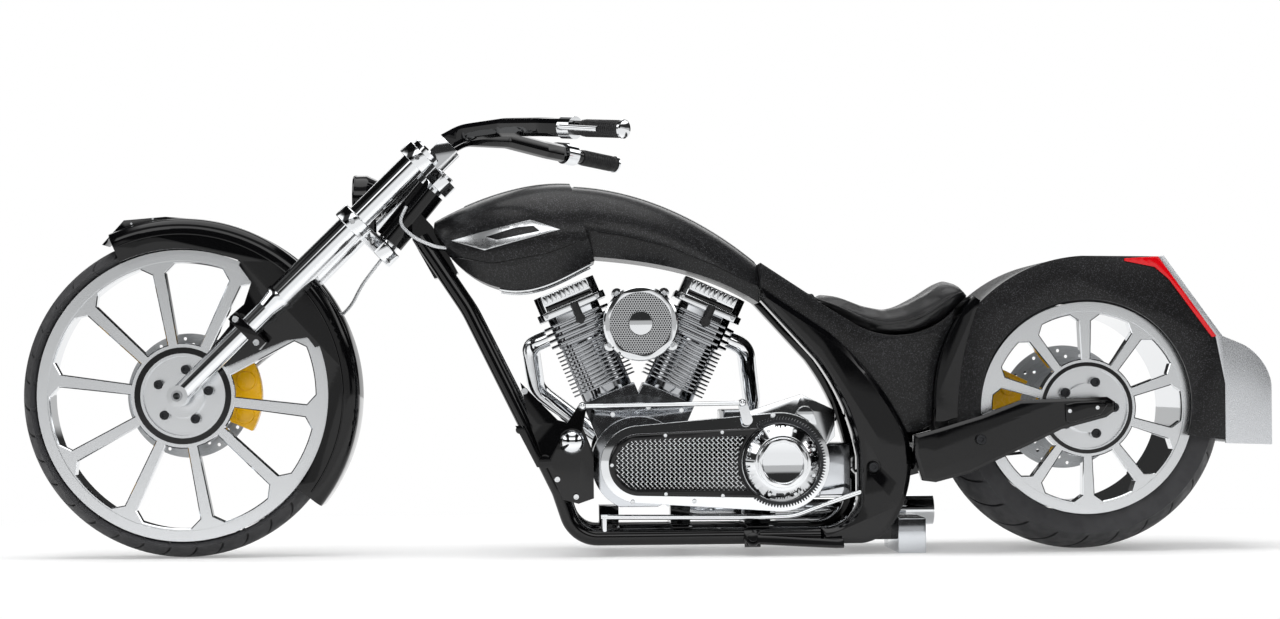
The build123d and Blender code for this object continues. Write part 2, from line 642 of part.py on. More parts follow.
fender_arc = [rear_at(*polar(FENDER_R, deg)) for deg in FENDER_DEG]
front_foot = rear_at(ARCH_AT[0] - ARCH_R, FENDER_FOOT)
low_foot = rear_at(-315, FENDER_FOOT)
tail_edge = [rear_at(*at) for at in (TAIL_TOP, TAIL_HIP, TAIL_WAIST, TAIL_FOOT)]
tail_line = [fender_arc[2], *tail_edge, arch(ARCH_FROM)]
fender_face = outline(
    ThreePointArc(*fender_arc),
    *[Line(a, b) for a, b in zip(tail_line, tail_line[1:])],
    ThreePointArc(arch(ARCH_FROM), arch(90), arch(180)),
    Line(arch(180), front_foot),
    Line(front_foot, low_foot),
    Line(low_foot, fender_arc[0]))
rear_fender = slab(fender_face, -FENDER_Y[1], FENDER_Y[1])
rear_fender -= shaft(REAR.x, REAR.z, FENDER_R - FENDER_SKIN, -FENDER_Y[0], FENDER_Y[0])
hollow_top, hollow_hip, hollow_waist, hollow_foot = [(x - TAIL_WALL, z) for x, z in tail_edge]
tail_hollow = side([rear_at(-5, FENDER_R - 2 * TAIL_WALL), (hollow_top[0], hollow_top[1] - TAIL_WALL),
                    hollow_hip, hollow_waist, (hollow_foot[0], hollow_foot[1] - TAIL_WALL),
                    rear_at(-5, TAIL_FOOT[1] - TAIL_WALL)])
rear_fender -= slab(tail_hollow, -FENDER_Y[0], FENDER_Y[0])

BOSS_R = 9.0
BOSSES = (rear_at(-295, -42.5), rear_at(-263, -39.5))
for x, z in BOSSES:
    rear_fender += shaft(x, z, BOSS_R, LEFT_ARM_Y[1], -FENDER_Y[0] - 1.0)
    rear_fender += shaft(x, z, BOSS_R, FENDER_Y[0] + 1.0, RIGHT_ARM_Y[0])

# Hoop that frames the fender's front edge, over its side plates and its skin
HOOP_T = 6.0
HOOP_FOOT = -26.5
hoop_front = [(x + BODY_GAP, z) for x, z in PAN_BACK[:3]]
hoop_back = [rear_at(-246, 246.0), rear_at(-283, 130.0), rear_at(-300, HOOP_FOOT)]
hoop_foot = rear_at(-349, HOOP_FOOT)
hoop_face = outline(
    Line(rear_at(-262, 256.5), hoop_front[0]),
    ThreePointArc(*hoop_front),
    Line(hoop_front[2], hoop_foot),
    Line(hoop_foot, hoop_back[2]),
    ThreePointArc(*reversed(hoop_back)),
    Line(hoop_back[0], rear_at(-262, 256.5)))
hoop_half = FENDER_Y[1] + SEAT_GAP
fender_hoop = slab(hoop_face, -hoop_half - HOOP_T, hoop_half + HOOP_T)
fender_hoop -= shaft(REAR.x, REAR.z, FENDER_R + SEAT_GAP, -hoop_half, hoop_half)
fender_hoop -= slab(side([rear_at(-360, 0), rear_at(-200, 0), rear_at(-200, -90), rear_at(-360, -90)]),
                    -hoop_half, hoop_half)

# Tail: lamps along the rear edges, silver panel between and below with two outlets
LAMP_T = 4.0
lamp_face = side([rear_at(*at) for at in (
    (81, 337.5), TAIL_TOP, (287, 159.5), (277, 157.5), (181, 289.5), (149, 317.5), (81, 331.5))])
lamp = slab(lamp_face, FENDER_Y[1], FENDER_Y[1] + LAMP_T)
tail_lamps = both(lamp)
tail_inner = [(x + TAIL_GAP, z) for x, z in tail_edge]
tail_top = rear_at(171, 343.5)
tail_hip = rear_at(303, 159.5)
tail_bend = rear_at(337, 145.5)
tail_rear = rear_at(TAIL_REACH, 48.5)
tail_low = rear_at(TAIL_REACH, -86.5)
tail_foot = rear_at(TAIL_FOOT[0] + TAIL_GAP, -82.5)
tail_face = outline(
    Line(tail_inner[0], tail_top),
    Line(tail_top, tail_hip),
    Line(tail_hip, tail_bend),
    TangentArc(tail_bend, tail_rear, tangent=(0.93, -0.37)),
    Line(tail_rear, tail_low),
    Line(tail_low, tail_foot),
    Line(tail_foot, tail_inner[2]),
    Line(tail_inner[2], tail_inner[1]),
    Line(tail_inner[1], tail_inner[0]))
tail_panel = slab(tail_face, -FENDER_Y[1], FENDER_Y[1])
tail_panel -= shaft(REAR.x, REAR.z, FENDER_R, -FENDER_Y[0], FENDER_Y[0])
OUTLET_Y = 112.0
OUTLET_Z = -51.0
OUTLET_W = 54.0
OUTLET_H = 40.0
OUTLET_D = 50.0
outlet = Pos(REAR.x + TAIL_REACH, OUTLET_Y, REAR.z + OUTLET_Z) * Box(2 * OUTLET_D, OUTLET_W, OUTLET_H)
tail_panel = tail_panel - outlet - mirrored(outlet)

# Swingarm: two arms, cross tube and pivot yoke
swing_face = side([pivot_at(87, 28), pivot_at(87, 72), pivot_at(143, 87), rear_at(-252, -13.5),
                   rear_at(-165, 19.5), rear_at(31, 25.5), rear_at(48, 14), rear_at(48, -6),
                   rear_at(28, -20.5), rear_at(-72, -46.5), pivot_at(211, -14), pivot_at(133, -34),
                   pivot_at(104, -30)])
ARM_EDGE = 7.0
left_arm = mirrored(eased(swing_face, -LEFT_ARM_Y[1], -LEFT_ARM_Y[0], ARM_EDGE))
right_arm = eased(swing_face, *RIGHT_ARM_Y, ARM_EDGE)
TIE_W = 44.0
TIE_H = 50.0
tie_x, tie_z = pivot_at(114, 29)
tie_span = RIGHT_ARM_Y[0] - LEFT_ARM_Y[1] + 2 * ARM_EDGE
arm_tie = Pos(tie_x, (LEFT_ARM_Y[1] + RIGHT_ARM_Y[0]) / 2, tie_z) * Box(TIE_W, tie_span, TIE_H)
yoke_x, yoke_z = pivot_at(54, 7)
yoke = Pos(yoke_x, 0, yoke_z) * Box(110, 150, TIE_H) + shaft(PIVOT_X, PIVOT_Z, PIVOT_R, -BOOT_Y[0], BOOT_Y[0])
swingarm = left_arm + right_arm + arm_tie + yoke
swingarm -= shaft(REAR.x, REAR.z, REAR.axle_r + SEAT_GAP, -300, 300)
rear_axle = (shaft(REAR.x, REAR.z, REAR.axle_r, LEFT_ARM_Y[0], RIGHT_ARM_Y[1] + 6.0)
             + shaft(REAR.x, REAR.z, 24.0, LEFT_ARM_Y[1], REAR.hub_y0 - 1.0)
             + shaft(REAR.x, REAR.z, 24.0, PULLEY_Y[1] + 1.0, RIGHT_ARM_Y[0]))
COVER_T = 6.0
COVER_EDGE = 2.5
cover_face = side([rear_at(*at) for at in (
    (-64, -29), (-66, 10), (-43, 15), (13, 17), (30, 8), (15, -14), (-55, -33))])
axle_cover = mirrored(eased(cover_face, -LEFT_ARM_Y[0], COVER_T - LEFT_ARM_Y[0], COVER_EDGE))

# Final belt on the right: pulley on the wheel, sprocket on the gearbox
pulley = shaft(0, 0, PULLEY_R, *PULLEY_Y) + shaft(0, 0, REAR.hub_r, REAR.hub_y1 + DISC_T, PULLEY_Y[0])
pulley -= shaft(0, 0, REAR.axle_r + RUN_FIT, 100, 220)
rear_pulley = Pos(REAR.x, 0, REAR.z) * pulley
belt_in = hull2(CLUTCH_X, CLUTCH_Z, SPROCKET_R + BODY_GAP, REAR.x, REAR.z, PULLEY_R + BODY_GAP)
belt_out = hull2(CLUTCH_X, CLUTCH_Z, SPROCKET_R + BODY_GAP + BELT_T, REAR.x, REAR.z,
                 PULLEY_R + BODY_GAP + BELT_T)
final_belt = slab(belt_out - belt_in, *BELT_Y)
belt_room = hull2(CLUTCH_X, CLUTCH_Z, SPROCKET_R + BELT_T + BELT_CLEAR, REAR.x, REAR.z,
                  PULLEY_R + BELT_T + BELT_CLEAR)
fender_hoop -= slab(belt_room, BELT_Y[0] - BELT_CLEAR, BELT_Y[1])
sprocket = shaft(CLUTCH_X, CLUTCH_Z, SPROCKET_R, *BELT_Y) + shaft(CLUTCH_X, CLUTCH_Z, 30.0, 110.0, BELT_Y[0])

# Rear caliper ahead of the axle on the right
rear_mid = REAR.hub_y1 + DISC_T / 2
rear_caliper = caliper_at(REAR, rear_mid - 18.0, rear_mid + 17.0, rear_mid, 178)
carrier = slab(hull2(-140, 6, 26, 0, 0, 30), PULLEY_Y[1] + 1.0, RIGHT_ARM_Y[0])
carrier += shaft(-140, 6, 16, rear_mid + 17.0, PULLEY_Y[1] + 1.0)
carrier -= shaft(0, 0, 24.0 + SEAT_GAP, 150, 220)
rear_carrier = Pos(REAR.x, 0, REAR.z) * carrier

# Engine: crankcase with two decks, finned cylinders, heads and rocker boxes
CASE_R = 108.0
CASE_Y = (-88.0, 88.0)


def lean_frame(tilt):
    t = radians(tilt)
    return Plane(origin=(CRANK_X, 0, CRANK_Z), x_dir=(cos(t), 0, -sin(t)), z_dir=(sin(t), 0, cos(t)))


def lean_box(frame, width, depth, s0, s1, corner=0.0):
    if corner:
        face = chamfer(Rectangle(width, depth).vertices(), corner)
    else:
        face = Rectangle(width, depth)
    return frame * (Pos(0, 0, s0) * extrude(face, s1 - s0))


FRAMES = [lean_frame(t) for t in CYL_TILT]
DECK_W = 128.0
crankcase = shaft(CRANK_X, CRANK_Z, CASE_R, *CASE_Y)
for frame in FRAMES:
    crankcase += lean_box(frame, DECK_W, 150.0, 60.0, CYL_BASE)
crankcase += Pos(120, 0, 175) * Box(120, 176, 110)
crankcase -= Pos(60, 0, 100) * Box(800, 400, 20)

BARREL_R = 60.0
FIN_W = 150.0
FIN_D = 150.0
FIN_T = 3.4
FINS = 12
HEAD_W = 158.0
HEAD_FINS = 4
HEAD_D = 164.0
ROCKER_D = 130.0
PANEL_S = 24.0
PANEL_W = 112.0
PANEL_H = 12.0
PANEL_D = 3.0
RIBS = 10
RIB_PITCH = 11.2
RIB_W = 6.5
RIB_H = 18.0
RIB_OUT = 5.0
RIB_DROP = 12.0
PLUG_K = 8.0
PLUG_S = 358.0
PLUG_R = 11.0
PLUG_Y = (HEAD_D / 2 + BODY_GAP, 112.0)
PLUG_RISE = 40.0
cylinders = []
heads = []
rockers = []
plug_boots = []
for frame in FRAMES:
    barrel = frame * (Pos(0, 0, (CYL_BASE + CYL_TOP) / 2) * Cylinder(BARREL_R, CYL_TOP - CYL_BASE))
    pitch = (CYL_TOP - CYL_BASE - 20.0) / FINS
    for i in range(FINS):
        s = CYL_BASE + 20.0 + i * pitch
        barrel += lean_box(frame, FIN_W, FIN_D, s, s + FIN_T, 28.0)
    cylinders.append(barrel)
    head = lean_box(frame, HEAD_W - 34.0, 132.0, CYL_TOP, HEAD_TOP, 20.0)
    pitch = (HEAD_TOP - CYL_TOP - 14.0) / HEAD_FINS
    for i in range(HEAD_FINS):
        s = CYL_TOP + 6.0 + i * pitch
        head += lean_box(frame, HEAD_W, HEAD_D, s, s + 6.0, 24.0)
    heads.append(head)
    rocker = lean_box(frame, 164.0, 150.0, HEAD_TOP, HEAD_TOP + 16.0, 14.0)
    rocker += lean_box(frame, 148.0, ROCKER_D, HEAD_TOP + 16.0, ROCKER_TOP, 18.0)
    rocker += frame * (Pos(0, 90.0, HEAD_TOP + 8.0) * Box(110.0, 60.0, 16.0))
    for face_y in (-ROCKER_D / 2, ROCKER_D / 2):
        rocker -= frame * (Pos(0, face_y, HEAD_TOP + PANEL_S) * Box(PANEL_W, 2 * PANEL_D, PANEL_H))
        for i in range(RIBS):
            k = (i - (RIBS - 1) / 2) * RIB_PITCH
            rocker += frame * (Pos(k, face_y, ROCKER_TOP - RIB_DROP) * Box(RIB_W, 2 * RIB_OUT, RIB_H))
    rockers.append(rocker)
    plug_l = PLUG_Y[1] - PLUG_Y[0]
    plug = Pos(PLUG_K, -sum(PLUG_Y) / 2, PLUG_S) * Rot(90, 0, 0) * Cylinder(PLUG_R, plug_l)
    plug += Pos(PLUG_K, PLUG_R - PLUG_Y[1], PLUG_S + PLUG_RISE / 2) * Cylinder(PLUG_R - 2.0, PLUG_RISE)
    plug_boots.append(frame * plug)

# Intake between the cylinders and the air cleaner on the left
AIR_X = 1.0
AIR_Z = 528.0
AIR_R = 85.0
AIR_Y = (-190.0, -150.0)
AIR_EYE_R = 70.0
AIR_EYE_D = 10.0
AIR_BOSS_R = 26.0
LUG_R = 12.0
LUG_AT_R = 86.0
LUG_DEG = (52.0, 128.0, 215.0, 325.0)
SCREEN_T = 2.0
HOLE_R = 3.6
HOLE_RINGS = ((35.0, 14), (46.0, 19), (57.0, 24))
air_cleaner = shaft(AIR_X, AIR_Z, AIR_R, *AIR_Y)
air_cleaner = chamfer(air_cleaner.edges().group_by(Axis.Y)[0], 5.0)
for deg in LUG_DEG:
    x, z = polar(LUG_AT_R, deg)
    air_cleaner += shaft(AIR_X + x, AIR_Z + z, LUG_R, AIR_Y[0] + 8.0, AIR_Y[1])
air_cleaner -= shaft(AIR_X, AIR_Z, AIR_EYE_R, AIR_Y[0] - 1, AIR_Y[0] + AIR_EYE_D)
air_cleaner += shaft(AIR_X, AIR_Z, AIR_BOSS_R, AIR_Y[0] - 4.0, AIR_Y[0] + 20.0)
screen_face = Circle(AIR_EYE_R - SEAT_GAP) - Circle(AIR_BOSS_R + SEAT_GAP)
for r, count in HOLE_RINGS:
    for i in range(count):
        x, z = polar(r, (i + 0.5) * 360.0 / count)
        screen_face -= Pos(x, z) * RegularPolygon(HOLE_R, 6)
screen_y = AIR_Y[0] + AIR_EYE_D - BODY_GAP
air_screen = Pos(AIR_X, 0, AIR_Z) * slab(screen_face, screen_y - SCREEN_T, screen_y)
intake = shaft(AIR_X, AIR_Z, 28.0, AIR_Y[1], 40.0)
manifold = Pos(0, 0, AIR_Z + 12.0) * Rot(0, 90, 0) * Cylinder(22.0, 220.0)
for solid in heads + cylinders:
    manifold -= solid
intake += manifold.solids().sort_by(SortBy.VOLUME)[-1]

# Cam cover and push-rod tubes on the right
CAM_D = 34.0
cam_face = hull2(CRANK_X - 40, CRANK_Z + 30, 66, CRANK_X + 60, CRANK_Z + 10, 70)
cam_cover = slab(cam_face, CASE_Y[1], CASE_Y[1] + CAM_D)
PUSH_R = 8.5
PUSH_Y = CASE_Y[1] + 16.0
PUSH_K = (14.0, 40.0)
TAPPET_TOP = 130.0
push_rods = []
for frame, sign in zip(FRAMES, (1, -1)):
    mid = sign * sum(PUSH_K) / 2
    cam_cover += frame * (Pos(mid, CASE_Y[1] + 15.0, TAPPET_TOP / 2 + 30.0) * Box(54, 30, TAPPET_TOP - 60.0))
    for k in PUSH_K:
        push_rods.append(frame * (Pos(sign * k, PUSH_Y, (TAPPET_TOP + HEAD_TOP) / 2)
                                  * Cylinder(PUSH_R, HEAD_TOP - TAPPET_TOP)))

# Primary drive on the left: plate, grille, clutch cover
PRIMARY_R = (88.0, 112.0)
PLATE_Y = (-140.0, -118.0)
GRILLE_Y = (-178.0, -140.0)
primary_plate = slab(hull2(CRANK_X, CRANK_Z, PRIMARY_R[0], CLUTCH_X, CLUTCH_Z, PRIMARY_R[1]), *PLATE_Y)
primary_plate += shaft(CRANK_X, CRANK_Z, 60.0, PLATE_Y[1], CASE_Y[0])
primary_plate += shaft(CLUTCH_X, CLUTCH_Z, 70.0, PLATE_Y[1], -110.0)
GRILLE_R = (70.0, 80.0)
WINDOW_R = (56.0, 64.0)
WINDOW_D = 14.0
GRILLE_CUT_R = 90.0
WINDOW_CUT_R = 99.0
MESH_BAR = 2.6
MESH_PITCH = 17.0
MESH_EDGE = 4.0
MESH_T = 3.0
MESH_REACH = 420.0


def grille_face(grow):
    window = hull2(CRANK_X, CRANK_Z, WINDOW_R[0] + grow, CLUTCH_X, CLUTCH_Z, WINDOW_R[1] + grow)
    return window - Pos(CLUTCH_X, CLUTCH_Z) * Circle(WINDOW_CUT_R - grow)


grille = slab(hull2(CRANK_X, CRANK_Z, GRILLE_R[0], CLUTCH_X, CLUTCH_Z, GRILLE_R[1]), *GRILLE_Y)
grille -= shaft(CLUTCH_X, CLUTCH_Z, GRILLE_CUT_R, -200, -100)
grille = chamfer(grille.edges().group_by(Axis.Y)[0], 4.0)
grille -= slab(grille_face(0.0), GRILLE_Y[0] - 1, GRILLE_Y[0] + WINDOW_D)
mesh_face = grille_face(-SEAT_GAP)
bars = grille_face(-SEAT_GAP) - grille_face(-MESH_EDGE)
for lean in (45.0, -45.0):
    for i in range(-13, 14):
        strip = Rot(0, 0, lean) * Pos(0, i * MESH_PITCH) * Rectangle(MESH_REACH, MESH_BAR)
        bars += Pos(CRANK_X + 70.0, CRANK_Z) * strip & mesh_face
mesh_y = GRILLE_Y[0] + WINDOW_D - BODY_GAP
grille_screen = slab(bars, mesh_y - MESH_T, mesh_y)
CLUTCH_Y = (-200.0, -172.0)
CLUTCH_R = 88.0
DOME_TOP_R = 62.0
CAP_R = 56.0
CAP_T = 6.0
CAP_EYE_R = 46.0
CAP_EYE_D = 3.0
clutch_cover = shaft(CLUTCH_X, CLUTCH_Z, CLUTCH_R, CLUTCH_Y[1], PLATE_Y[0])
clutch_cover += Pos(CLUTCH_X, sum(CLUTCH_Y) / 2, CLUTCH_Z) * Rot(90, 0, 0) * Cone(
    CLUTCH_R, DOME_TOP_R, CLUTCH_Y[1] - CLUTCH_Y[0])
clutch_cover += shaft(CLUTCH_X, CLUTCH_Z, CAP_R, CLUTCH_Y[0] - CAP_T, CLUTCH_Y[0])
clutch_cover -= shaft(CLUTCH_X, CLUTCH_Z, CAP_EYE_R, CLUTCH_Y[0] - CAP_T - 1.0, CLUTCH_Y[0] - CAP_T + CAP_EYE_D)

# Gearbox and battery box
gearbox = Pos(300, 0, 230) * Box(220, 220, 200)
TRANS_Y = (-124.0, -110.0)
trans_face = side([(222, 296), (230, 322), (366, 364), (442, 328), (442, 268), (400, 225), (260, 225)])
trans_plate = slab(trans_face, *TRANS_Y)
trans_plate += shaft(374, 318, 19.0, TRANS_Y[0] - 8.0, TRANS_Y[0])
battery_box = Pos(447, 0, 190) * Box(74, 150, 120)

# Exhaust on the right: two headers into a pipe along the rail
PIPE_R = 21.0
PIPE_Y = 192.0
PIPE_Z = 82.0
PORT_S = (CYL_TOP + HEAD_TOP) / 2
ports = []
for frame, sign in zip(FRAMES, (-1, 1)):
    for reach in (0.1, 44.0):
        spot = frame.from_local_coords((sign * (HEAD_W / 2 + reach), 40.0, PORT_S))
        ports.append((spot.X, spot.Y, spot.Z))
pipe_front = tube([ports[0], ports[1], (-238.0, 120.0, 380.0), (-60.0, PIPE_Y, 240.0),
                   (120.0, PIPE_Y, PIPE_Z), (330.0, PIPE_Y, PIPE_Z)], [26.0, 60.0, 90.0, 90.0], PIPE_R)
pipe_rear = tube([ports[2], ports[3], (275.0, 140.0, 340.0), (210.0, PIPE_Y, 200.0),
                  (290.0, PIPE_Y, PIPE_Z + 6.0)], [40.0, 60.0, 40.0], PIPE_R)
muffler = Pos(520, PIPE_Y, PIPE_Z) * Rot(0, 90, 0) * Cylinder(36.0, 380.0)
hanger = shaft(525, PIPE_Z, 12.0, BOOT_Y[1], PIPE_Y - 20.0)
exhaust = pipe_front + pipe_rear + muffler + hanger

# Forward foot controls
CONTROL_Y = (-161.0, -149.0)
control_face = side([(-272, 398), (-235, 360), (-188, 312), (-132, 296), (-108, 236), (-108, 134),
                     (-143, 122), (-178, 132), (-207, 194), (-226, 236), (-250, 300)])
control = slab(control_face, *CONTROL_Y)
PEG_R = 14.0
PEG_AT = (-218.0, 220.0)
PEG_END = -262.0
TOE_R = 9.0
TOE_END = -230.0
LEVER_T = 8.0
ROD_R = 5.0
BALL_R = 9.0
ROD_Y = CONTROL_Y[0] - BALL_R - BODY_GAP
ROD_FROM = (-132.0, 343.0)
ROD_TO = (229.0, 346.0)
SHIFT_AT = (240.0, 308.0)
DOME_AT = (-156.0, 262.0)
DOME_R = 30.0
RIGHT_TOP = 236.0
control += slab(side([(-170, 300), (-132, 290), (-122, 343), (-132, 353), (-142, 343)]), *CONTROL_Y)
peg = shaft(*PEG_AT, PEG_R, PEG_END, CONTROL_Y[0])
toe_face = side([(-236, 206), (-216, 206), (-262, 300), (-284, 300)])
toe_lever = slab(toe_face, CONTROL_Y[0] - LEVER_T, CONTROL_Y[0])
toe_lever += shaft(-273, 292, TOE_R, TOE_END, CONTROL_Y[0])
left_control = control + peg + toe_lever
right_room = side([(-300, 310), (-225, 310), (-205, RIGHT_TOP), (-90, RIGHT_TOP), (-90, 100), (-300, 100)])
right_control = mirrored(left_control) & slab(right_room, 100, 300)
rod = tube([(ROD_FROM[0], ROD_Y, ROD_FROM[1]), (ROD_TO[0], ROD_Y, ROD_TO[1])], [], ROD_R)
for x, z in (ROD_FROM, ROD_TO):
    rod += Pos(x, ROD_Y, z) * Sphere(BALL_R)
rod += slab(hull2(*ROD_TO, 10.0, *SHIFT_AT, 12.0), ROD_Y + 4.0, ROD_Y + 12.0)
rod += shaft(*SHIFT_AT, 9.0, ROD_Y + 4.0, PLATE_Y[0])
dome = Pos(DOME_AT[0], CONTROL_Y[0], DOME_AT[1]) * Sphere(DOME_R)
dome &= Pos(DOME_AT[0], CONTROL_Y[0] - DOME_R, DOME_AT[1]) * Box(2 * DOME_R, 2 * DOME_R, 2 * DOME_R)

# Chrome tube low on the left, from a post on the rail back to the boot
LOW_R = 6.0
LOW_Y = -138.0
low_tube = tube([(-92, LOW_Y, 90), (270, LOW_Y, 86), (345, LOW_Y, 88), (410, LOW_Y, 112), (500, LOW_Y, 142)],
                [400.0, 120.0, 300.0], LOW_R)
low_tube -= mirrored(boot)
low_tube = low_tube.solids().sort_by(Axis.X)[0]
low_post = Pos(-84, LOW_Y, 74) * Cylinder(LOW_R, 34.0)
low_tube += low_post - rail_clear

# Side stand folded along the left rail: a bracket with its pin, and the leg with its eye and foot
STAND_X = 249.0
STAND_Z = 38.0
STAND_Y = -170.0
STAND_PIN_R = 7.0
STAND_EYE_R = 16.0
STAND_T = 10.0
STAND_GAP = 2.0
STAND_L = 205.0
STAND_TILT = 30.0
STAND = Plane(origin=(STAND_X, STAND_Y, STAND_Z), x_dir=(1, 0, 0),
              z_dir=(0, cos(radians(STAND_TILT)), -sin(radians(STAND_TILT))))
stand_bracket = STAND * (Pos(0, -8.0, STAND_T / 2 + STAND_GAP + 4.0) * Box(36.0, 40.0, 8.0))
stand_bracket += STAND * (Pos(0, 0, 2.0) * Cylinder(STAND_PIN_R, STAND_T + 2 * STAND_GAP + 8.0))
stand_bracket += STAND * (Pos(0, 0, -STAND_T / 2 - STAND_GAP - 3.0) * Cylinder(11.0, 6.0))
stand_bracket -= rail_clear
stand_leg = STAND * Cylinder(STAND_EYE_R, STAND_T)
stand_leg += STAND * (Pos(0, 0, -STAND_T / 2) * extrude(
    side([(0, -10), (186, 4), (STAND_L, 2), (STAND_L, 22), (186, 22), (0, 10)]), STAND_T))
stand_leg -= STAND * Cylinder(STAND_PIN_R + RUN_FIT, 40.0)

# Hand controls ahead of the grips: clamp, lever and, on the right, a square reservoir
def on_bar(back, forward, up):
    # A point from the inner end of the right grip: back toward the middle, then ahead and up
    x0, y0, z0 = BAR_ROUTE[-1]
    gx, gy, _ = GRIP_DIR
    return (x0 - gx * back - gy * forward, y0 - gy * back + gx * forward, z0 + up)


PERCH_BACK = 40.0
PERCH = Plane(origin=tuple(a - PERCH_BACK * d for a, d in zip(BAR_ROUTE[-1], GRIP_DIR)), z_dir=GRIP_DIR)
perch = PERCH * Cylinder(25.0, 34.0)
lever = tube([on_bar(40.0, 20.0, 2.0), on_bar(20.0, 62.0, 0.0), on_bar(-84.0, 48.0, -12.0)], [16.0], 6.0)
RESERVOIR = Plane(origin=on_bar(40.0, 34.0, 20.0), x_dir=(GRIP_DIR[0], GRIP_DIR[1], 0))
reservoir = RESERVOIR * Box(40.0, 34.0, 30.0)
bar_hole = PERCH * Cylinder(BAR_R + SEAT_GAP, 160.0)
hand_controls = group(perch + lever + reservoir - bar_hole, mirrored(perch + lever - bar_hole))

# Neck gusset: joins neck, downtubes and tank
gusset = slab(side([(-520, 812), (-474, 762), (-440, 700), (-415, 652), (-470, 640), (-520, 730)]), -30, 30)
gusset = gusset - steer_cyl(-200, 200, NECK_R - 1.0) - tank_front
gusset -= both(tube(DOWN_ROUTE, DOWN_BENDS, RAIL_R + SEAT_GAP))
neck = neck + gusset

NODES = {
    "front_tyre": front_tyre, "front_wheel": front_wheel, "front_disc": front_disc,
    "rear_tyre": rear_tyre, "rear_wheel": rear_wheel, "rear_rotor": rear_disc + rear_pulley,
    "front_axle": front_axle, "fork_legs": fork_legs, "lower_clamp": lower_clamp,
    "upper_clamp": upper_clamp + risers, "handlebar": handlebar, "grips": grips,
    "hand_controls": hand_controls, "headlight": headlight, "headlight_lens": lens,
    "front_fender": front_fender, "fork_brackets": group(fender_clamps, front_caliper_arm),
    "front_caliper": front_caliper, "front_hose": hose,
    "neck": neck, "neck_cable": cable, "downtubes": downtubes, "rails": rails,
    "cross_members": group(cross_members, rear_member, stand_bracket),
    "boots": boots, "parking_block": parking_block,
    "tank_front": tank_front, "tank_spine": tank_spine, "tank_vents": tank_vents,
    "seat": seat, "seat_pan": seat_pan, "rear_fender": rear_fender, "fender_hoop": fender_hoop,
    "tail_lamps": tail_lamps, "tail_panel": tail_panel,
    "swingarm": swingarm + rear_carrier, "rear_axle": rear_axle + axle_cover,
    "final_belt": final_belt, "rear_caliper": rear_caliper,
    "crankcase": crankcase, "cylinders": group(*cylinders), "heads": group(*heads),
    "rockers": group(*rockers), "plug_boots": group(*plug_boots),
    "air_cleaner": air_cleaner + intake, "air_screen": air_screen,
    "cam_chest": group(sum(push_rods, cam_cover)), "primary_plate": primary_plate + trans_plate,
    "grille": grille, "grille_screen": grille_screen, "clutch_cover": clutch_cover,
    "gearbox": gearbox + sprocket + battery_box, "exhaust": exhaust,
    "foot_controls": group(left_control, right_control), "shift_gear": group(rod, dome, low_tube),
    "side_stand": stand_leg,
}
for name, shape in NODES.items():
    export_step(shape, f"parts/{name}.step")
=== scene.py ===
import json
import math

import bmesh
import bpy
import numpy as np
from bpy.props import FloatProperty, FloatVectorProperty, IntProperty, PointerProperty
from mathutils import Matrix, Vector
from mathutils.bvhtree import BVHTree


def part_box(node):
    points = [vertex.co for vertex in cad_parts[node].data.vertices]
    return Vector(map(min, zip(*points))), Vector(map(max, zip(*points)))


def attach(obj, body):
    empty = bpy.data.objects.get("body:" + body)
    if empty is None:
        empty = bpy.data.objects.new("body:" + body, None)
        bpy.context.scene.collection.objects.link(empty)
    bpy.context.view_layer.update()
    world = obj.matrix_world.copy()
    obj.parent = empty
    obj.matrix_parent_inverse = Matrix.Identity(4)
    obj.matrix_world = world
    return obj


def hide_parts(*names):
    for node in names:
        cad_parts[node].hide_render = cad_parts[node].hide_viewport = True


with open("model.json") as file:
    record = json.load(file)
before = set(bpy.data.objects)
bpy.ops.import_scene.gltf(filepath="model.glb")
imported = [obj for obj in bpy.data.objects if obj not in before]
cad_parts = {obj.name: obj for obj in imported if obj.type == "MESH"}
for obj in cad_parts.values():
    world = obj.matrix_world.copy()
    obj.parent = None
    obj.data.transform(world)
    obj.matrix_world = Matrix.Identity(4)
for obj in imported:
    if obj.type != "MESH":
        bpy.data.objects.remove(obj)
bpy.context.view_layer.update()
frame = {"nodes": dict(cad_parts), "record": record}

bl_info = {
    "name": "Cruiser Dresser",
    "version": (1, 0, 0),
    "blender": (4, 5, 0),
    "location": "View3D > Sidebar > Cruiser",
    "description": "Dresses a long V-twin cruiser: finishes, tyres, saddle, screens, screws and trim",
    "category": "Object",
}

MM = 0.001


def centre(node):
    low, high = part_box(node)
    return (low + high) / 2


def half_size(node):
    low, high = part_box(node)
    return (high - low) / 2


FRONT_HUB = centre("front_tyre")
REAR_HUB = centre("rear_tyre")
CLUTCH = centre("clutch_cover")
AIR = centre("air_cleaner")


def linear(hex_text):
    """An sRGB hex colour as linear red, green and blue."""
    channels = [int(hex_text[i:i + 2], 16) / 255 for i in (0, 2, 4)]
    return tuple(c / 12.92 if c <= 0.04045 else ((c + 0.055) / 1.055) ** 2.4 for c in channels)


def colour(label, text, hex_text):
    return FloatVectorProperty(name=label, description=text, subtype="COLOR", size=3, min=0, max=1,
                               default=linear(hex_text))


def length(label, text, metres):
    return FloatProperty(name=label, description=text, default=metres, min=0, unit="LENGTH", precision=4)


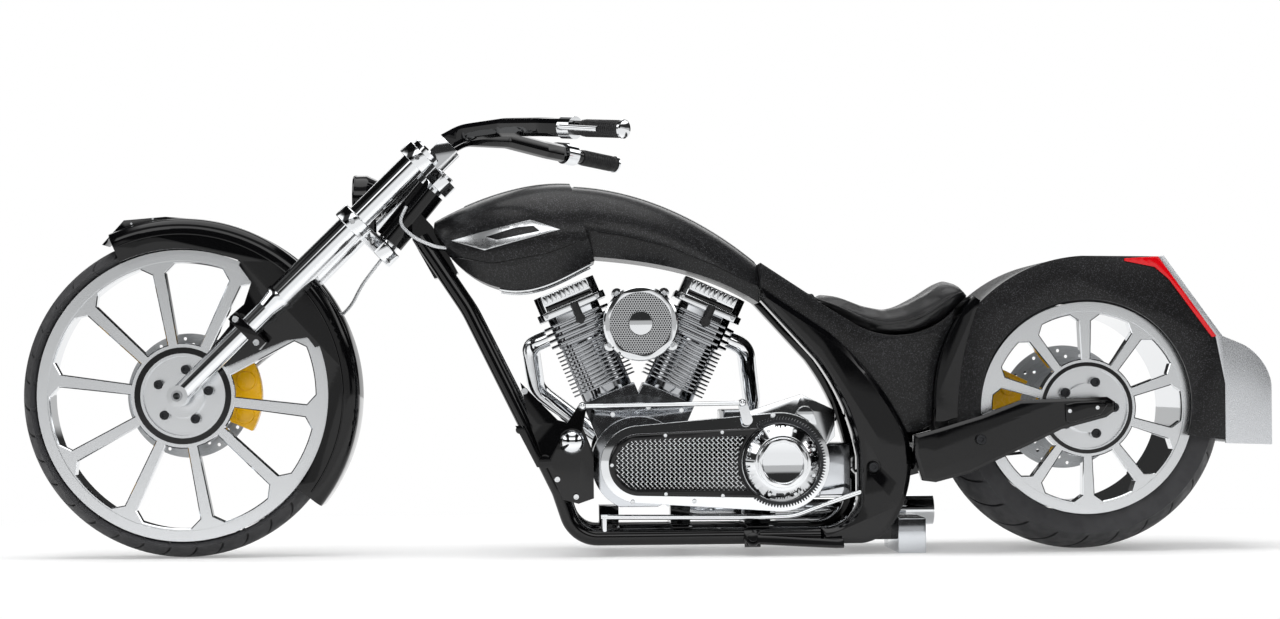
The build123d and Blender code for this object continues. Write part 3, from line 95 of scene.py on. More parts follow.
class CruiserColours(bpy.types.PropertyGroup):
    """Paint, plating, rubber and lens colours"""
    enamel: colour("Gloss enamel", "Frame, boots, front fender and swingarm", "060607")
    flake: colour("Flake paint", "Tank, spine, seat pan and rear fender", "0B0B0C")
    # The flakes are real, but their lighter grey is a painted glint
    glint: colour("Flake glint", "Metal flakes in the satin paint", "47484B")
    chrome: colour("Chrome", "Wheels, fork, engine and covers", "E6E8EA")
    # Painted shade: the fins' plating is greyer than the chrome, to stand in for the shade between the fins
    alloy: colour("Polished alloy", "Crankcase, gearbox and parking block", "C9CCD0")
    steel: colour("Disc steel", "Brake discs and axles", "B4B6B8")
    fins: colour("Plated fins", "Cylinders and heads", "A9ABAE")
    # The ring gear's own colour, and painted shade on the hub and cover screws
    dark_steel_and_shade: colour("Dark steel", "Ring gear and small fixings", "3A3B3D")
    braid: colour("Braid", "Woven cover of the brake hose and the cable", "D2D4D6")
    tyre: colour("Tyre", "Tread and side walls", "2B2B2D")
    # Painted shade: the floor of the tread grooves is darker, to stand in for the shade down in them
    groove: colour("Tread groove", "Floor of the tread grooves", "09090A")
    rubber: colour("Rubber", "Grips, belt and hoses", "101011")
    leather: colour("Leather", "Saddle hide", "131314")
    caliper: colour("Caliper enamel", "Brake calipers", "FFC107")
    lens: colour("Tail lens", "Red tail lamps", "B8040E")
    silver: colour("Silver paint", "Tail panel", "C6C8CB")
    glass: colour("Lamp glass", "Headlight lens", "F9FAFC")


class CruiserTyres(bpy.types.PropertyGroup):
    """Tread of the two tyres"""
    front_grooves: IntProperty(name="Front grooves", description="Grooves round each front shoulder",
                               default=36, min=6, max=90)
    rear_grooves: IntProperty(name="Rear grooves", description="Grooves round each rear shoulder",
                              default=26, min=6, max=90)
    groove_width: length("Groove width", "Width of a tread groove", 5.5 * MM)
    groove_depth: length("Groove depth", "Depth of a tread groove", 5.0 * MM)


class CruiserScreens(bpy.types.PropertyGroup):
    """Woven wire of the primary cover and pierced screen of the air cleaner"""
    wire_pitch: length("Wire pitch", "Spacing of the woven wires", 7.6 * MM)
    wire_radius: length("Wire radius", "Radius of one wire", 1.25 * MM)
    hole_pitch: length("Hole pitch", "Spacing of the pierced holes", 5.6 * MM)
    hole_radius: length("Hole radius", "Radius of one pierced hole", 1.9 * MM)


class CruiserSeat(bpy.types.PropertyGroup):
    """Padded saddle"""
    pressure: FloatProperty(name="Stuffing", description="Pressure that swells the padding",
                            default=4.0, min=0)
    swell: length("Largest swell", "How far the hide may move when it is stuffed", 7 * MM)
    piping: length("Piping radius", "Radius of the sewn edge", 2.6 * MM)


class CruiserStage(bpy.types.PropertyGroup):
    """Floor, light and camera"""
    floor: colour("Floor", "Pale studio floor", "F4F4F4")
    ambient: FloatProperty(name="Fill", description="Even light from all round", default=0.55, min=0)
    key: FloatProperty(name="Soft box", description="Power of the soft box above", default=150.0, min=0,
                       unit="POWER")
    lens: FloatProperty(name="Lens", description="Focal length on a 36 mm wide sensor", default=67.7, min=10,
                        subtype="DISTANCE_CAMERA")


GROUPS = {
    "cruiser_colours": CruiserColours,
    "cruiser_tyres": CruiserTyres,
    "cruiser_screens": CruiserScreens,
    "cruiser_seat": CruiserSeat,
    "cruiser_stage": CruiserStage,
}


def settings(name):
    return getattr(bpy.context.scene, "cruiser_" + name)


# Finishes

def add_node(tree, kind, options=None, to=None, **inputs):
    """Adds a node with its settings and links.

    An input given as a socket is linked, and any other value is set. Underscores stand for spaces, and _1
    picks an input by its place. The node's first output is linked to the socket given as to.
    """
    node = tree.nodes.new(kind)
    for key, value in (options or {}).items():
        setattr(node, key, value)
    for key, value in inputs.items():
        socket = node.inputs[int(key[1:])] if key[1:].isdigit() else node.inputs[key.replace("_", " ")]
        if isinstance(value, bpy.types.NodeSocket):
            tree.links.new(value, socket)
        else:
            socket.default_value = value
    if to is not None:
        tree.links.new(node.outputs[0], to)
    return node


def start_finish(name, tint, metallic, roughness):
    """A new material with its tree, its shader and the object coordinates that its patterns read."""
    material = bpy.data.materials.new(name)
    material.use_nodes = True
    tree = material.node_tree
    shader = tree.nodes["Principled BSDF"]
    shader.inputs["Base Color"].default_value = (*tint, 1)
    shader.inputs["Metallic"].default_value = metallic
    shader.inputs["Roughness"].default_value = roughness
    material.diffuse_color = (*tint, 1)
    place = add_node(tree, "ShaderNodeTexCoord").outputs["Object"]
    return material, tree, shader, place


def scale_for(size_mm):
    """Texture scale at which one cell of the pattern is that many millimetres wide."""
    return 1000.0 / size_mm


# Noise seldom leaves this band, which is spread over the whole range of a roughness
NOISE_BAND = (0.35, 0.65)
# A wave texture at scale 1 has about this many bands to a metre
WAVE_BANDS = 3.0


def vary_roughness(tree, shader, place, size_mm, low, high):
    """Lets the roughness drift between two levels over patches of the given size."""
    noise = add_node(tree, "ShaderNodeTexNoise", Vector=place, Scale=scale_for(size_mm), Detail=3.0)
    add_node(tree, "ShaderNodeMapRange", to=shader.inputs["Roughness"], Value=noise.outputs["Fac"],
             From_Min=NOISE_BAND[0], From_Max=NOISE_BAND[1], To_Min=low, To_Max=high)


def polished_chrome(name="polished_chrome", tint=None, rough=(0.03, 0.07)):
    # Chromium plate over polished steel: a clear mirror, a touch hazy where it was wiped
    tint = tint or settings("colours").chrome
    material, tree, shader, place = start_finish(name, tint, 1.0, rough[0])
    vary_roughness(tree, shader, place, 45.0, *rough)
    return material


def plated_fins():
    # Chromium plate over cast fins: the same mirror, greyed by the shade that lies between them
    return polished_chrome("plated_cast_fins", settings("colours").fins, (0.06, 0.14))


def plated_billet():
    # Chromium plate over milled billet: the flats are softly hazed, and the window walls are clear mirrors
    material, tree, shader, _ = start_finish("plated_billet", settings("colours").chrome, 1.0, 0.2)
    flat = add_node(tree, "ShaderNodeAttribute", {"attribute_name": "flat"})
    add_node(tree, "ShaderNodeMapRange", to=shader.inputs["Roughness"], Value=flat.outputs["Fac"],
             To_Min=0.05, To_Max=0.27)
    return material


def satin_chrome():
    # Chromium plate over brushed metal: bright and soft, with no clear mirror image
    return polished_chrome("satin_chrome", None, (0.2, 0.3))


def polished_alloy():
    # Cast aluminium, polished by hand: bright, with faint waves of the casting left in it
    material, tree, shader, place = start_finish("polished_cast_alloy", settings("colours").alloy, 1.0, 0.16)
    vary_roughness(tree, shader, place, 18.0, 0.06, 0.12)
    waves = add_node(tree, "ShaderNodeTexNoise", Vector=place, Scale=scale_for(40.0), Detail=1.0)
    add_node(tree, "ShaderNodeBump", to=shader.inputs["Normal"], Strength=0.12, Distance=1.0 * MM,
             Height=waves.outputs["Fac"])
    return material


def ground_steel(name, hub):
    # Stainless steel, ground in rings round the hub: a soft grey sheen with fine circles
    material, tree, shader, place = start_finish(name, settings("colours").steel, 1.0, 0.28)
    moved = add_node(tree, "ShaderNodeMapping", Vector=place, Location=tuple(-c for c in hub))
    flat = add_node(tree, "ShaderNodeVectorMath", {"operation": "MULTIPLY"}, Vector=moved.outputs["Vector"],
                    _1=(1.0, 0.0, 1.0))
    radius = add_node(tree, "ShaderNodeVectorMath", {"operation": "LENGTH"}, Vector=flat.outputs["Vector"])
    rings = add_node(tree, "ShaderNodeTexNoise", {"noise_dimensions": "1D"}, W=radius.outputs["Value"],
                     Scale=scale_for(1.2), Detail=2.0)
    add_node(tree, "ShaderNodeMapRange", to=shader.inputs["Roughness"], Value=rings.outputs["Fac"],
             To_Min=0.2, To_Max=0.4)
    add_node(tree, "ShaderNodeBump", to=shader.inputs["Normal"], Strength=0.15, Distance=0.2 * MM,
             Height=rings.outputs["Fac"])
    return material


def gloss_enamel():
    # Black enamel under clear lacquer: deep mirror-like black with a trace of orange peel
    material, tree, shader, place = start_finish("gloss_black_enamel", settings("colours").enamel, 0.0, 0.06)
    shader.inputs["Specular IOR Level"].default_value = 0.4
    vary_roughness(tree, shader, place, 60.0, 0.03, 0.08)
    peel = add_node(tree, "ShaderNodeTexNoise", Vector=place, Scale=scale_for(9.0), Detail=1.0)
    add_node(tree, "ShaderNodeBump", to=shader.inputs["Normal"], Strength=0.06, Distance=0.3 * MM,
             Height=peel.outputs["Fac"])
    return material


def flake_paint():
    # Satin black paint with fine metal flake: dull black, its flakes a lighter grey painted in as their glint,
    # with a little real sheen from the coat where the light falls
    # The flakes are drawn about 1 mm wide, twice their real size, so that they show
    own = settings("colours")
    material, tree, shader, place = start_finish("satin_flake_paint", own.flake, 0.0, 0.42)
    shader.inputs["Specular IOR Level"].default_value = 0.2
    shader.inputs["Coat Weight"].default_value = 0.25
    shader.inputs["Coat Roughness"].default_value = 0.16
    cells = add_node(tree, "ShaderNodeTexVoronoi", Vector=place, Scale=scale_for(1.0))
    pick = add_node(tree, "ShaderNodeSeparateColor", Color=cells.outputs["Color"])
    flakes = add_node(tree, "ShaderNodeMapRange", {"interpolation_type": "SMOOTHSTEP"},
                      Value=pick.outputs["Red"], From_Min=0.86, From_Max=1.0)
    mix = add_node(tree, "ShaderNodeMix", {"data_type": "RGBA"}, _0=flakes.outputs["Result"],
                   _6=(*own.flake, 1), _7=(*own.glint, 1))
    tree.links.new(mix.outputs[2], shader.inputs["Base Color"])
    vary_roughness(tree, shader, place, 5.0, 0.34, 0.46)
    add_node(tree, "ShaderNodeBump", to=shader.inputs["Normal"], Strength=0.1, Distance=0.2 * MM,
             Height=cells.outputs["Distance"])
    return material


def tyre_rubber():
    # Moulded tyre compound: dry dark grey with a fine mould grain, darkened down in the tread by painted shade
    own = settings("colours")
    material, tree, shader, place = start_finish("tyre_compound", own.tyre, 0.0, 0.62)
    # The groove attribute darkens the floor of the grooves: painted shade
    groove_shade = add_node(tree, "ShaderNodeAttribute", {"attribute_name": "groove"})
    shade = add_node(tree, "ShaderNodeMix", {"data_type": "RGBA"}, _0=groove_shade.outputs["Fac"],
                     _6=(*own.tyre, 1), _7=(*own.groove, 1))
    tree.links.new(shade.outputs[2], shader.inputs["Base Color"])
    vary_roughness(tree, shader, place, 30.0, 0.5, 0.72)
    grain = add_node(tree, "ShaderNodeTexNoise", Vector=place, Scale=scale_for(1.6), Detail=3.0)
    add_node(tree, "ShaderNodeBump", to=shader.inputs["Normal"], Strength=0.15, Distance=0.4 * MM,
             Height=grain.outputs["Fac"])
    return material


def moulded_rubber():
    # Moulded rubber: even soft black with a low sheen
    material, tree, shader, place = start_finish("moulded_rubber", settings("colours").rubber, 0.0, 0.55)
    vary_roughness(tree, shader, place, 12.0, 0.45, 0.65)
    grain = add_node(tree, "ShaderNodeTexNoise", Vector=place, Scale=scale_for(1.2), Detail=2.0)
    add_node(tree, "ShaderNodeBump", to=shader.inputs["Normal"], Strength=0.2, Distance=0.3 * MM,
             Height=grain.outputs["Fac"])
    return material


def saddle_leather():
    # Dyed cowhide, lightly waxed: satin black with a pebble grain of about 2 mm
    own = settings("colours")
    material, tree, shader, place = start_finish("waxed_saddle_leather", own.leather, 0.0, 0.4)
    pebbles = add_node(tree, "ShaderNodeTexVoronoi", {"feature": "SMOOTH_F1"}, Vector=place,
                       Scale=scale_for(2.2))
    add_node(tree, "ShaderNodeBump", to=shader.inputs["Normal"], Strength=0.3, Distance=0.5 * MM,
             Height=pebbles.outputs["Distance"])
    vary_roughness(tree, shader, place, 25.0, 0.32, 0.48)
    return material


def blackened_steel_and_shade():
    # Heat-blackened steel: dark grey with a dull oily sheen. It is the ring gear's own colour, and painted
    # shade on the hub and cover screws, whose bolts sit in shaded counterbores and recesses
    material, tree, shader, place = start_finish("blackened_steel_and_shade", settings("colours").dark_steel_and_shade, 0.9, 0.35)
    vary_roughness(tree, shader, place, 6.0, 0.28, 0.45)
    return material


def braided_wire():
    # Stainless braid over a hose: pale grey with a crossed weave of about 1.5 mm
    material, tree, shader, place = start_finish("stainless_braid", settings("colours").braid, 0.7, 0.32)
    weave = add_node(tree, "ShaderNodeTexChecker", Vector=place, Scale=scale_for(1.5))
    add_node(tree, "ShaderNodeBump", to=shader.inputs["Normal"], Strength=0.4, Distance=0.4 * MM,
             Height=weave.outputs["Fac"])
    vary_roughness(tree, shader, place, 3.0, 0.25, 0.4)
    return material


def caliper_enamel():
    # Baked enamel on a cast caliper: warm yellow, glossy, slightly uneven
    own = settings("colours")
    material, tree, shader, place = start_finish("baked_caliper_enamel", own.caliper, 0.0, 0.22)
    vary_roughness(tree, shader, place, 8.0, 0.16, 0.32)
    cast = add_node(tree, "ShaderNodeTexNoise", Vector=place, Scale=scale_for(4.0), Detail=2.0)
    add_node(tree, "ShaderNodeBump", to=shader.inputs["Normal"], Strength=0.15, Distance=0.4 * MM,
             Height=cast.outputs["Fac"])
    return material


def tail_lens():
    # Red acrylic with moulded ribs inside: clear wet red that darkens in the grooves, with a faint painted glow
    # that stands in for light shining through the acrylic
    own = settings("colours")
    material, tree, shader, place = start_finish("red_acrylic", own.lens, 0.0, 0.06)
    shader.inputs["IOR"].default_value = 1.49
    # Painted glow: the unlit lens gives off a little of its own red
    shader.inputs["Emission Color"].default_value = (*own.lens, 1)
    shader.inputs["Emission Strength"].default_value = 0.25
    ribs = add_node(tree, "ShaderNodeTexWave", {"bands_direction": "DIAGONAL"}, Vector=place,
                    Scale=scale_for(9.0) / WAVE_BANDS)
    add_node(tree, "ShaderNodeBump", to=shader.inputs["Normal"], Strength=0.3, Distance=0.6 * MM,
             Height=ribs.outputs["Fac"])
    return material


def lamp_glass():
    # Pressed lamp glass: clear, with upright flutes
    own = settings("colours")
    material, tree, shader, place = start_finish("pressed_lamp_glass", own.glass, 0.0, 0.03)
    shader.inputs["IOR"].default_value = 1.5
    shader.inputs["Transmission Weight"].default_value = 0.85
    flutes = add_node(tree, "ShaderNodeTexWave", {"bands_direction": "Y"}, Vector=place,
                      Scale=scale_for(8.0) / WAVE_BANDS)
    add_node(tree, "ShaderNodeBump", to=shader.inputs["Normal"], Strength=0.4, Distance=0.8 * MM,
             Height=flutes.outputs["Fac"])
    return material


def silver_paint():
    # Silver metallic lacquer: fine bright flake under a clear coat
    own = settings("colours")
    material, tree, shader, place = start_finish("silver_metallic_lacquer", own.silver, 0.75, 0.28)
    shader.inputs["Coat Weight"].default_value = 0.6
    shader.inputs["Coat Roughness"].default_value = 0.05
    vary_roughness(tree, shader, place, 2.0, 0.22, 0.38)
    return material


FINISHES = {
    "chrome": polished_chrome,
    "fins": plated_fins,
    "satin": satin_chrome,
    "alloy": polished_alloy,
    "front_disc": lambda: ground_steel("ground_front_disc_steel", FRONT_HUB),
    "rear_disc": lambda: ground_steel("ground_rear_disc_steel", REAR_HUB),
    "enamel": gloss_enamel,
    "flake": flake_paint,
    "billet": plated_billet,
    "tyre": tyre_rubber,
    "rubber": moulded_rubber,
    "dark_steel_and_shade": blackened_steel_and_shade,
    "braid": braided_wire,
    "leather": saddle_leather,
    "caliper": caliper_enamel,
    "lens": tail_lens,
    "glass": lamp_glass,
    "silver": silver_paint,
}
SLOT_FINISH = {
    "chrome": "chrome", "gloss_black": "enamel", "satin_black": "flake", "tyre": "tyre", "rubber": "rubber",
    "leather": "leather", "steel": "front_disc", "yellow": "caliper", "red_lens": "lens",
    "clear_lens": "glass", "silver": "silver", "alloy": "alloy",
}
NODE_FINISH = {
    "rear_rotor": "rear_disc", "front_hose": "braid", "neck_cable": "braid", "cylinders": "fins",
    "heads": "fins", "tank_vents": "satin", "front_wheel": "billet", "rear_wheel": "billet",
}
made = {}


def finish(name):
    if name not in made:
        made[name] = FINISHES[name]()
    return made[name]


def node_slot(node):
    rows = [r for r in frame["record"]["subparts"] if r["node"] == node]
    return rows[0]["material_slot"]


def node_finish(node):
    return finish(NODE_FINISH.get(node) or SLOT_FINISH[node_slot(node)])


def node_body(node):
    bodies = frame["record"]["behaviour"]["bodies"]
    return [b for b, members in bodies.items() if node in members][0]


# Mesh helpers

def linked(name, mesh):
    """A new object of the scene that shows a mesh."""
    item = bpy.data.objects.new(name, mesh)
    bpy.context.scene.collection.objects.link(item)
    return item


def dress(item, material, body, slot):
    """Gives an object its one finish and the body that it rides on; the slot is not used."""
    item.data.materials.clear()
    item.data.materials.append(material)
    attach(item, body)


def piece(name, mesh, look, body, slot):
    """A finished mesh as a piece that rides on a body."""
    item = linked(name, mesh)
    dress(item, finish(look), body, slot)
    return item


def mesh_from(name, points, faces):
    mesh = bpy.data.meshes.new(name)
    mesh.from_pydata([tuple(p) for p in points], [], [tuple(f) for f in faces])
    mesh.validate()
    mesh.update()
    return mesh


def smooth(mesh, angle_deg):
    mesh.shade_smooth()
    mesh.set_sharp_from_angle(angle=math.radians(angle_deg))


def baked(item):
    """Turns what an object's modifiers give into its own plain mesh."""
    graph = bpy.context.evaluated_depsgraph_get()
    mesh = bpy.data.meshes.new_from_object(item.evaluated_get(graph))
    item.modifiers.clear()
    old = item.data
    item.data = mesh
    bpy.data.meshes.remove(old)
    return mesh


def welded_copy(node, name):
    """A copy of a CAD node's mesh with its loose triangles joined and its flats made whole."""
    work = bmesh.new()
    work.from_mesh(frame["nodes"][node].data)
    bmesh.ops.remove_doubles(work, verts=work.verts, dist=0.005 * MM)
    bmesh.ops.dissolve_limit(work, angle_limit=math.radians(0.4), verts=work.verts, edges=work.edges)
    mesh = bpy.data.meshes.new(name)
    work.to_mesh(mesh)
    work.free()
    return mesh


def outward(mesh):
    """Turns a mesh's faces outward."""
    work = bmesh.new()
    work.from_mesh(mesh)
    bmesh.ops.recalc_face_normals(work, faces=work.faces)
    work.to_mesh(mesh)
    work.free()
    return mesh


def rounded(mesh):
    """Turns a mesh's faces outward and smooths all but its sharp corners."""
    smooth(outward(mesh), 38)
    return mesh


def ring_faces(rings, sides, closed=False):
    """Quads between each ring of points and the next; a closed run joins the last ring to the first."""
    faces = []
    for i in range(rings if closed else rings - 1):
        j = (i + 1) % rings
        for k in range(sides):
            m = (k + 1) % sides
            faces.append((i * sides + k, i * sides + m, j * sides + m, j * sides + k))
    return faces


def tube_mesh(name, path, radius, sides=10):
    """A round bar along a path of points, closed at both ends."""
    path = [Vector(p) for p in path]
    points = []
    for i, middle in enumerate(path):
        run = (path[min(i + 1, len(path) - 1)] - path[max(i - 1, 0)]).normalized()
        across = run.cross(Vector((0, 1, 0)) if abs(run.y) < 0.8 else Vector((0, 0, 1))).normalized()
        other = run.cross(across)
        for k in range(sides):
            a = 2 * math.pi * k / sides
            points.append(middle + radius * (math.cos(a) * across + math.sin(a) * other))
    faces = ring_faces(len(path), sides)
    faces.append(range(sides))
    faces.append(range(len(points) - sides, len(points)))
    return rounded(mesh_from(name, points, faces))


def turned_mesh(name, section, sides=40):
    """A closed section of (radius, height), in millimetres, turned round +Z."""
    points = []
    for i in range(sides):
        a = 2 * math.pi * i / sides
        points += [(r * MM * math.cos(a), r * MM * math.sin(a), h * MM) for r, h in section]
    return rounded(mesh_from(name, points, ring_faces(sides, len(section), closed=True)))


def flat_ring(name, inner, outer, thick, sides=40):
    """A flat ring round +Z, in millimetres."""
    return turned_mesh(name, ((inner, 0), (outer, 0), (outer, thick), (inner, thick)), sides)


def block_mesh(name, size, edge):
    """A block of the given size with bevelled edges, about its middle."""
    work = bmesh.new()
    bmesh.ops.create_cube(work, size=1.0, matrix=Matrix.Diagonal((*size, 1.0)))
    bmesh.ops.bevel(work, geom=work.edges, offset=edge, segments=2, profile=0.5, affect="EDGES")
    mesh = bpy.data.meshes.new(name)
    work.to_mesh(mesh)
    work.free()
    return mesh


def surface(node):
    """A node's surface, to find points on it."""
    item = frame["nodes"][node]
    points = [item.matrix_world @ v.co for v in item.data.vertices]
    return BVHTree.FromPolygons(points, [p.vertices for p in item.data.polygons])


def left_face(node, x, z):
    """How far to the left a node's face lies at a place on the machine's side, in millimetres."""
    return surface(node).ray_cast(Vector((x * MM, -1, z * MM)), Vector((0, 1, 0)))[0].y / MM


# Repeats: one cell placed on many points

def repeat_tree():
    tree = bpy.data.node_groups.new("cell_on_points", "GeometryNodeTree")
    for label, kind, way in (("Points", "NodeSocketGeometry", "INPUT"),
                             ("Cell", "NodeSocketObject", "INPUT"),
                             ("Cell Scale", "NodeSocketFloat", "INPUT"),
                             ("Finish", "NodeSocketMaterial", "INPUT"),
                             ("Geometry", "NodeSocketGeometry", "OUTPUT")):
        tree.interface.new_socket(label, in_out=way, socket_type=kind)
    source = add_node(tree, "NodeGroupInput").outputs
    cell = add_node(tree, "GeometryNodeObjectInfo", {"transform_space": "ORIGINAL"}, Object=source["Cell"])
    turn = add_node(tree, "GeometryNodeInputNamedAttribute", {"data_type": "FLOAT_VECTOR"}, Name="turn")
    size = add_node(tree, "GeometryNodeInputNamedAttribute", {"data_type": "FLOAT"}, Name="size")
    grown = add_node(tree, "ShaderNodeMath", {"operation": "MULTIPLY"}, _0=size.outputs["Attribute"],
                     _1=source["Cell Scale"])
    spread = add_node(tree, "GeometryNodeInstanceOnPoints", Points=source["Points"],
                      Instance=cell.outputs["Geometry"], Rotation=turn.outputs["Attribute"],
                      Scale=grown.outputs["Value"])
    real = add_node(tree, "GeometryNodeRealizeInstances", Geometry=spread.outputs["Instances"])
    coated = add_node(tree, "GeometryNodeSetMaterial", Geometry=real.outputs["Geometry"],
                      Material=source["Finish"])
    add_node(tree, "NodeGroupOutput", Geometry=coated.outputs["Geometry"])
    return tree


def repeat(name, cell, spots, look, body, slot):
    """Places a cell mesh at each spot (place, turn, size) and bakes the result to one piece."""
    tree = bpy.data.node_groups.get("cell_on_points") or repeat_tree()
    points = mesh_from(name, [s[0] for s in spots], [])
    turns = points.attributes.new("turn", "FLOAT_VECTOR", "POINT")
    turns.data.foreach_set("vector", [c for s in spots for c in s[1]])
    sizes = points.attributes.new("size", "FLOAT", "POINT")
    sizes.data.foreach_set("value", [s[2] for s in spots])
    item = linked(name, points)
    pattern = bpy.data.objects.new(name + "_cell", cell)
    modifier = item.modifiers.new("Repeat", "NODES")
    modifier.node_group = tree
    values = {"Cell": pattern, "Cell Scale": 1.0, "Finish": finish(look)}
    for socket in tree.interface.items_tree:
        if socket.in_out == "INPUT" and socket.name in values:
            modifier[socket.identifier] = values[socket.name]
    smooth(baked(item), 40)
    bpy.data.objects.remove(pattern)
    dress(item, finish(look), body, slot)
    return item


def facing(axis):
    """Turn that points a cell's +Z along an axis."""
    return tuple(Vector(axis).to_track_quat("Z", "Y").to_euler())


# Rings of a screw's head from its foot up and down into its recess: radius and height, in head radii
HEAD_RINGS = ((1.0, 0.0), (1.0, 0.75), (0.86, 0.95), (0.55, 0.95), (0.5, 0.45))
HEAD_SIDES = 12


def socket_screw():
    """Head of a socket screw of unit radius, its top along +Z, with a round recess."""
    turns = [2 * math.pi * i / HEAD_SIDES for i in range(HEAD_SIDES)]
    points = [(r * math.cos(a), r * math.sin(a), z) for r, z in HEAD_RINGS for a in turns]
    faces = ring_faces(len(HEAD_RINGS), HEAD_SIDES)
    faces.append(range(len(points) - HEAD_SIDES, len(points)))
    faces.append(reversed(range(HEAD_SIDES)))
    return mesh_from("socket_screw", points, faces)


LEFT = (0.0, -1.0, 0.0)
RIGHT = (0.0, 1.0, 0.0)
SIDES = ((-1, "left"), (1, "right"))


def spot(x, y, z, axis, size):
    """A repeat's spot from millimetres."""
    return ((x * MM, y * MM, z * MM), facing(axis), size * MM)


def circle_spots(hub, y, radius, count, first_deg, axis, size):
    """Spots round a hub in the plane across the machine's side, in millimetres."""
    spots = []
    for i in range(count):
        a = math.radians(first_deg + i * 360.0 / count)
        x = hub.x / MM + radius * math.cos(a)
        z = hub.z / MM + radius * math.sin(a)
        spots.append(spot(x, y, z, axis, size))
    return spots


# Fork and cylinders lean in the machine's side plane, the cylinders from the crank
FORK_RAKE_DEG = 45.93
CYLINDER_LEAN_DEG = (-22.5, 24.5)
CRANK = Vector((-4 * MM, 0, 209 * MM))


def leaned(origin, lean_deg, across, y, up):
    """A point in metres, given across, sideways and along an axis that leans back from upright."""
    a = math.radians(lean_deg)
    return Vector((origin.x + (across * math.cos(a) + up * math.sin(a)) * MM, y * MM,
                   origin.z + (up * math.cos(a) - across * math.sin(a)) * MM))


# Pieces

# How far each node's hard edges are rounded, in millimetres
EDGE_MM = {
    "front_wheel": 1.2, "rear_wheel": 1.2, "swingarm": 2.5, "boots": 6.0, "seat_pan": 4.0, "rear_fender": 3.0,
    "fender_hoop": 2.0, "tail_panel": 4.0, "tail_lamps": 1.2, "primary_plate": 3.0, "grille": 1.5,
    "clutch_cover": 2.0, "heads": 1.2, "rockers": 0.9, "cylinders": 0.7, "crankcase": 5.0, "gearbox": 4.0,
    "front_caliper": 4.0, "rear_caliper": 4.0, "lower_clamp": 3.0, "upper_clamp": 3.0, "handlebar": 1.5,
    "foot_controls": 1.5, "parking_block": 2.5, "side_stand": 1.5, "rear_axle": 1.0, "headlight": 3.0,
    "fork_brackets": 2.0, "air_cleaner": 2.0, "cam_chest": 3.0, "cross_members": 2.0, "grips": 3.0,
    "front_fender": 1.5, "tank_vents": 1.0, "plug_boots": 2.5,
}
# Milled pieces whose side flats stay true right up to the rounded edge
MILLED_FLAT = ("front_wheel", "rear_wheel")
# A face is a side flat where its normal points this nearly sideways
FLAT_SIDEWAYS = 0.98
# Edges that turn by more than the first are rounded, and shading breaks where faces still turn by the second
ROUNDED_FROM_DEG = 28
SHARP_FROM_DEG = 35


class CRUISER_OT_finish_nodes(bpy.types.Operator):
    """Gives every solid its finish and rounds the hard edges of the machined ones"""
    bl_idname = "cruiser.finish_nodes"
    bl_label = "Finish the solids"

    def execute(self, context):
        for node, item in frame["nodes"].items():
            item.data.materials.clear()
            item.data.materials.append(node_finish(node))
        for node, width in EDGE_MM.items():
            item = linked(node + "_edged", welded_copy(node, node + "_edged"))
            bevel = item.modifiers.new("Bevel", "BEVEL")
            bevel.width = width * MM
            bevel.segments = 3
            bevel.limit_method = "ANGLE"
            bevel.angle_limit = math.radians(ROUNDED_FROM_DEG)
            bevel.use_clamp_overlap = True
            smooth(baked(item), SHARP_FROM_DEG)
            if node in MILLED_FLAT:
                item.modifiers.new("Flats", "WEIGHTED_NORMAL").keep_sharp = True
                mesh = baked(item)
                flats = [float(abs(face.normal.y) > FLAT_SIDEWAYS) for face in mesh.polygons]
                mesh.attributes.new("flat", "FLOAT", "FACE").data.foreach_set("value", flats)
            dress(item, node_finish(node), node_body(node), node_slot(node))
            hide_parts(node)
        return {"FINISHED"}


# Tyres: how far the shoulder lies below the crown, the bead's share of the half width, how far the bead lies
# outside the rim, how deep the wall is dished as a share of the half width, and the rings of wall and crown
SHOULDER_DROP = {"front_tyre": 26 * MM, "rear_tyre": 42 * MM}
BEAD_SHARE = {"front_tyre": 0.72, "rear_tyre": 0.88}
BEAD_LIFT = 2 * MM
WALL_DISH = 0.02
WALL_STEPS = 8
CROWN_STEPS = 18
# Grooves: the slope of their walls as a share of their width, how fast they fade in, how far they reach down
# past the shoulder as a share of its drop, the bend of their sweep, and the plain columns between two of them
GROOVE_SLOPE = 0.12
GROOVE_FADE = 6
GROOVE_PAST = 0.4
SWEEP_BEND = 1.5
PLAIN_COLUMNS = 5


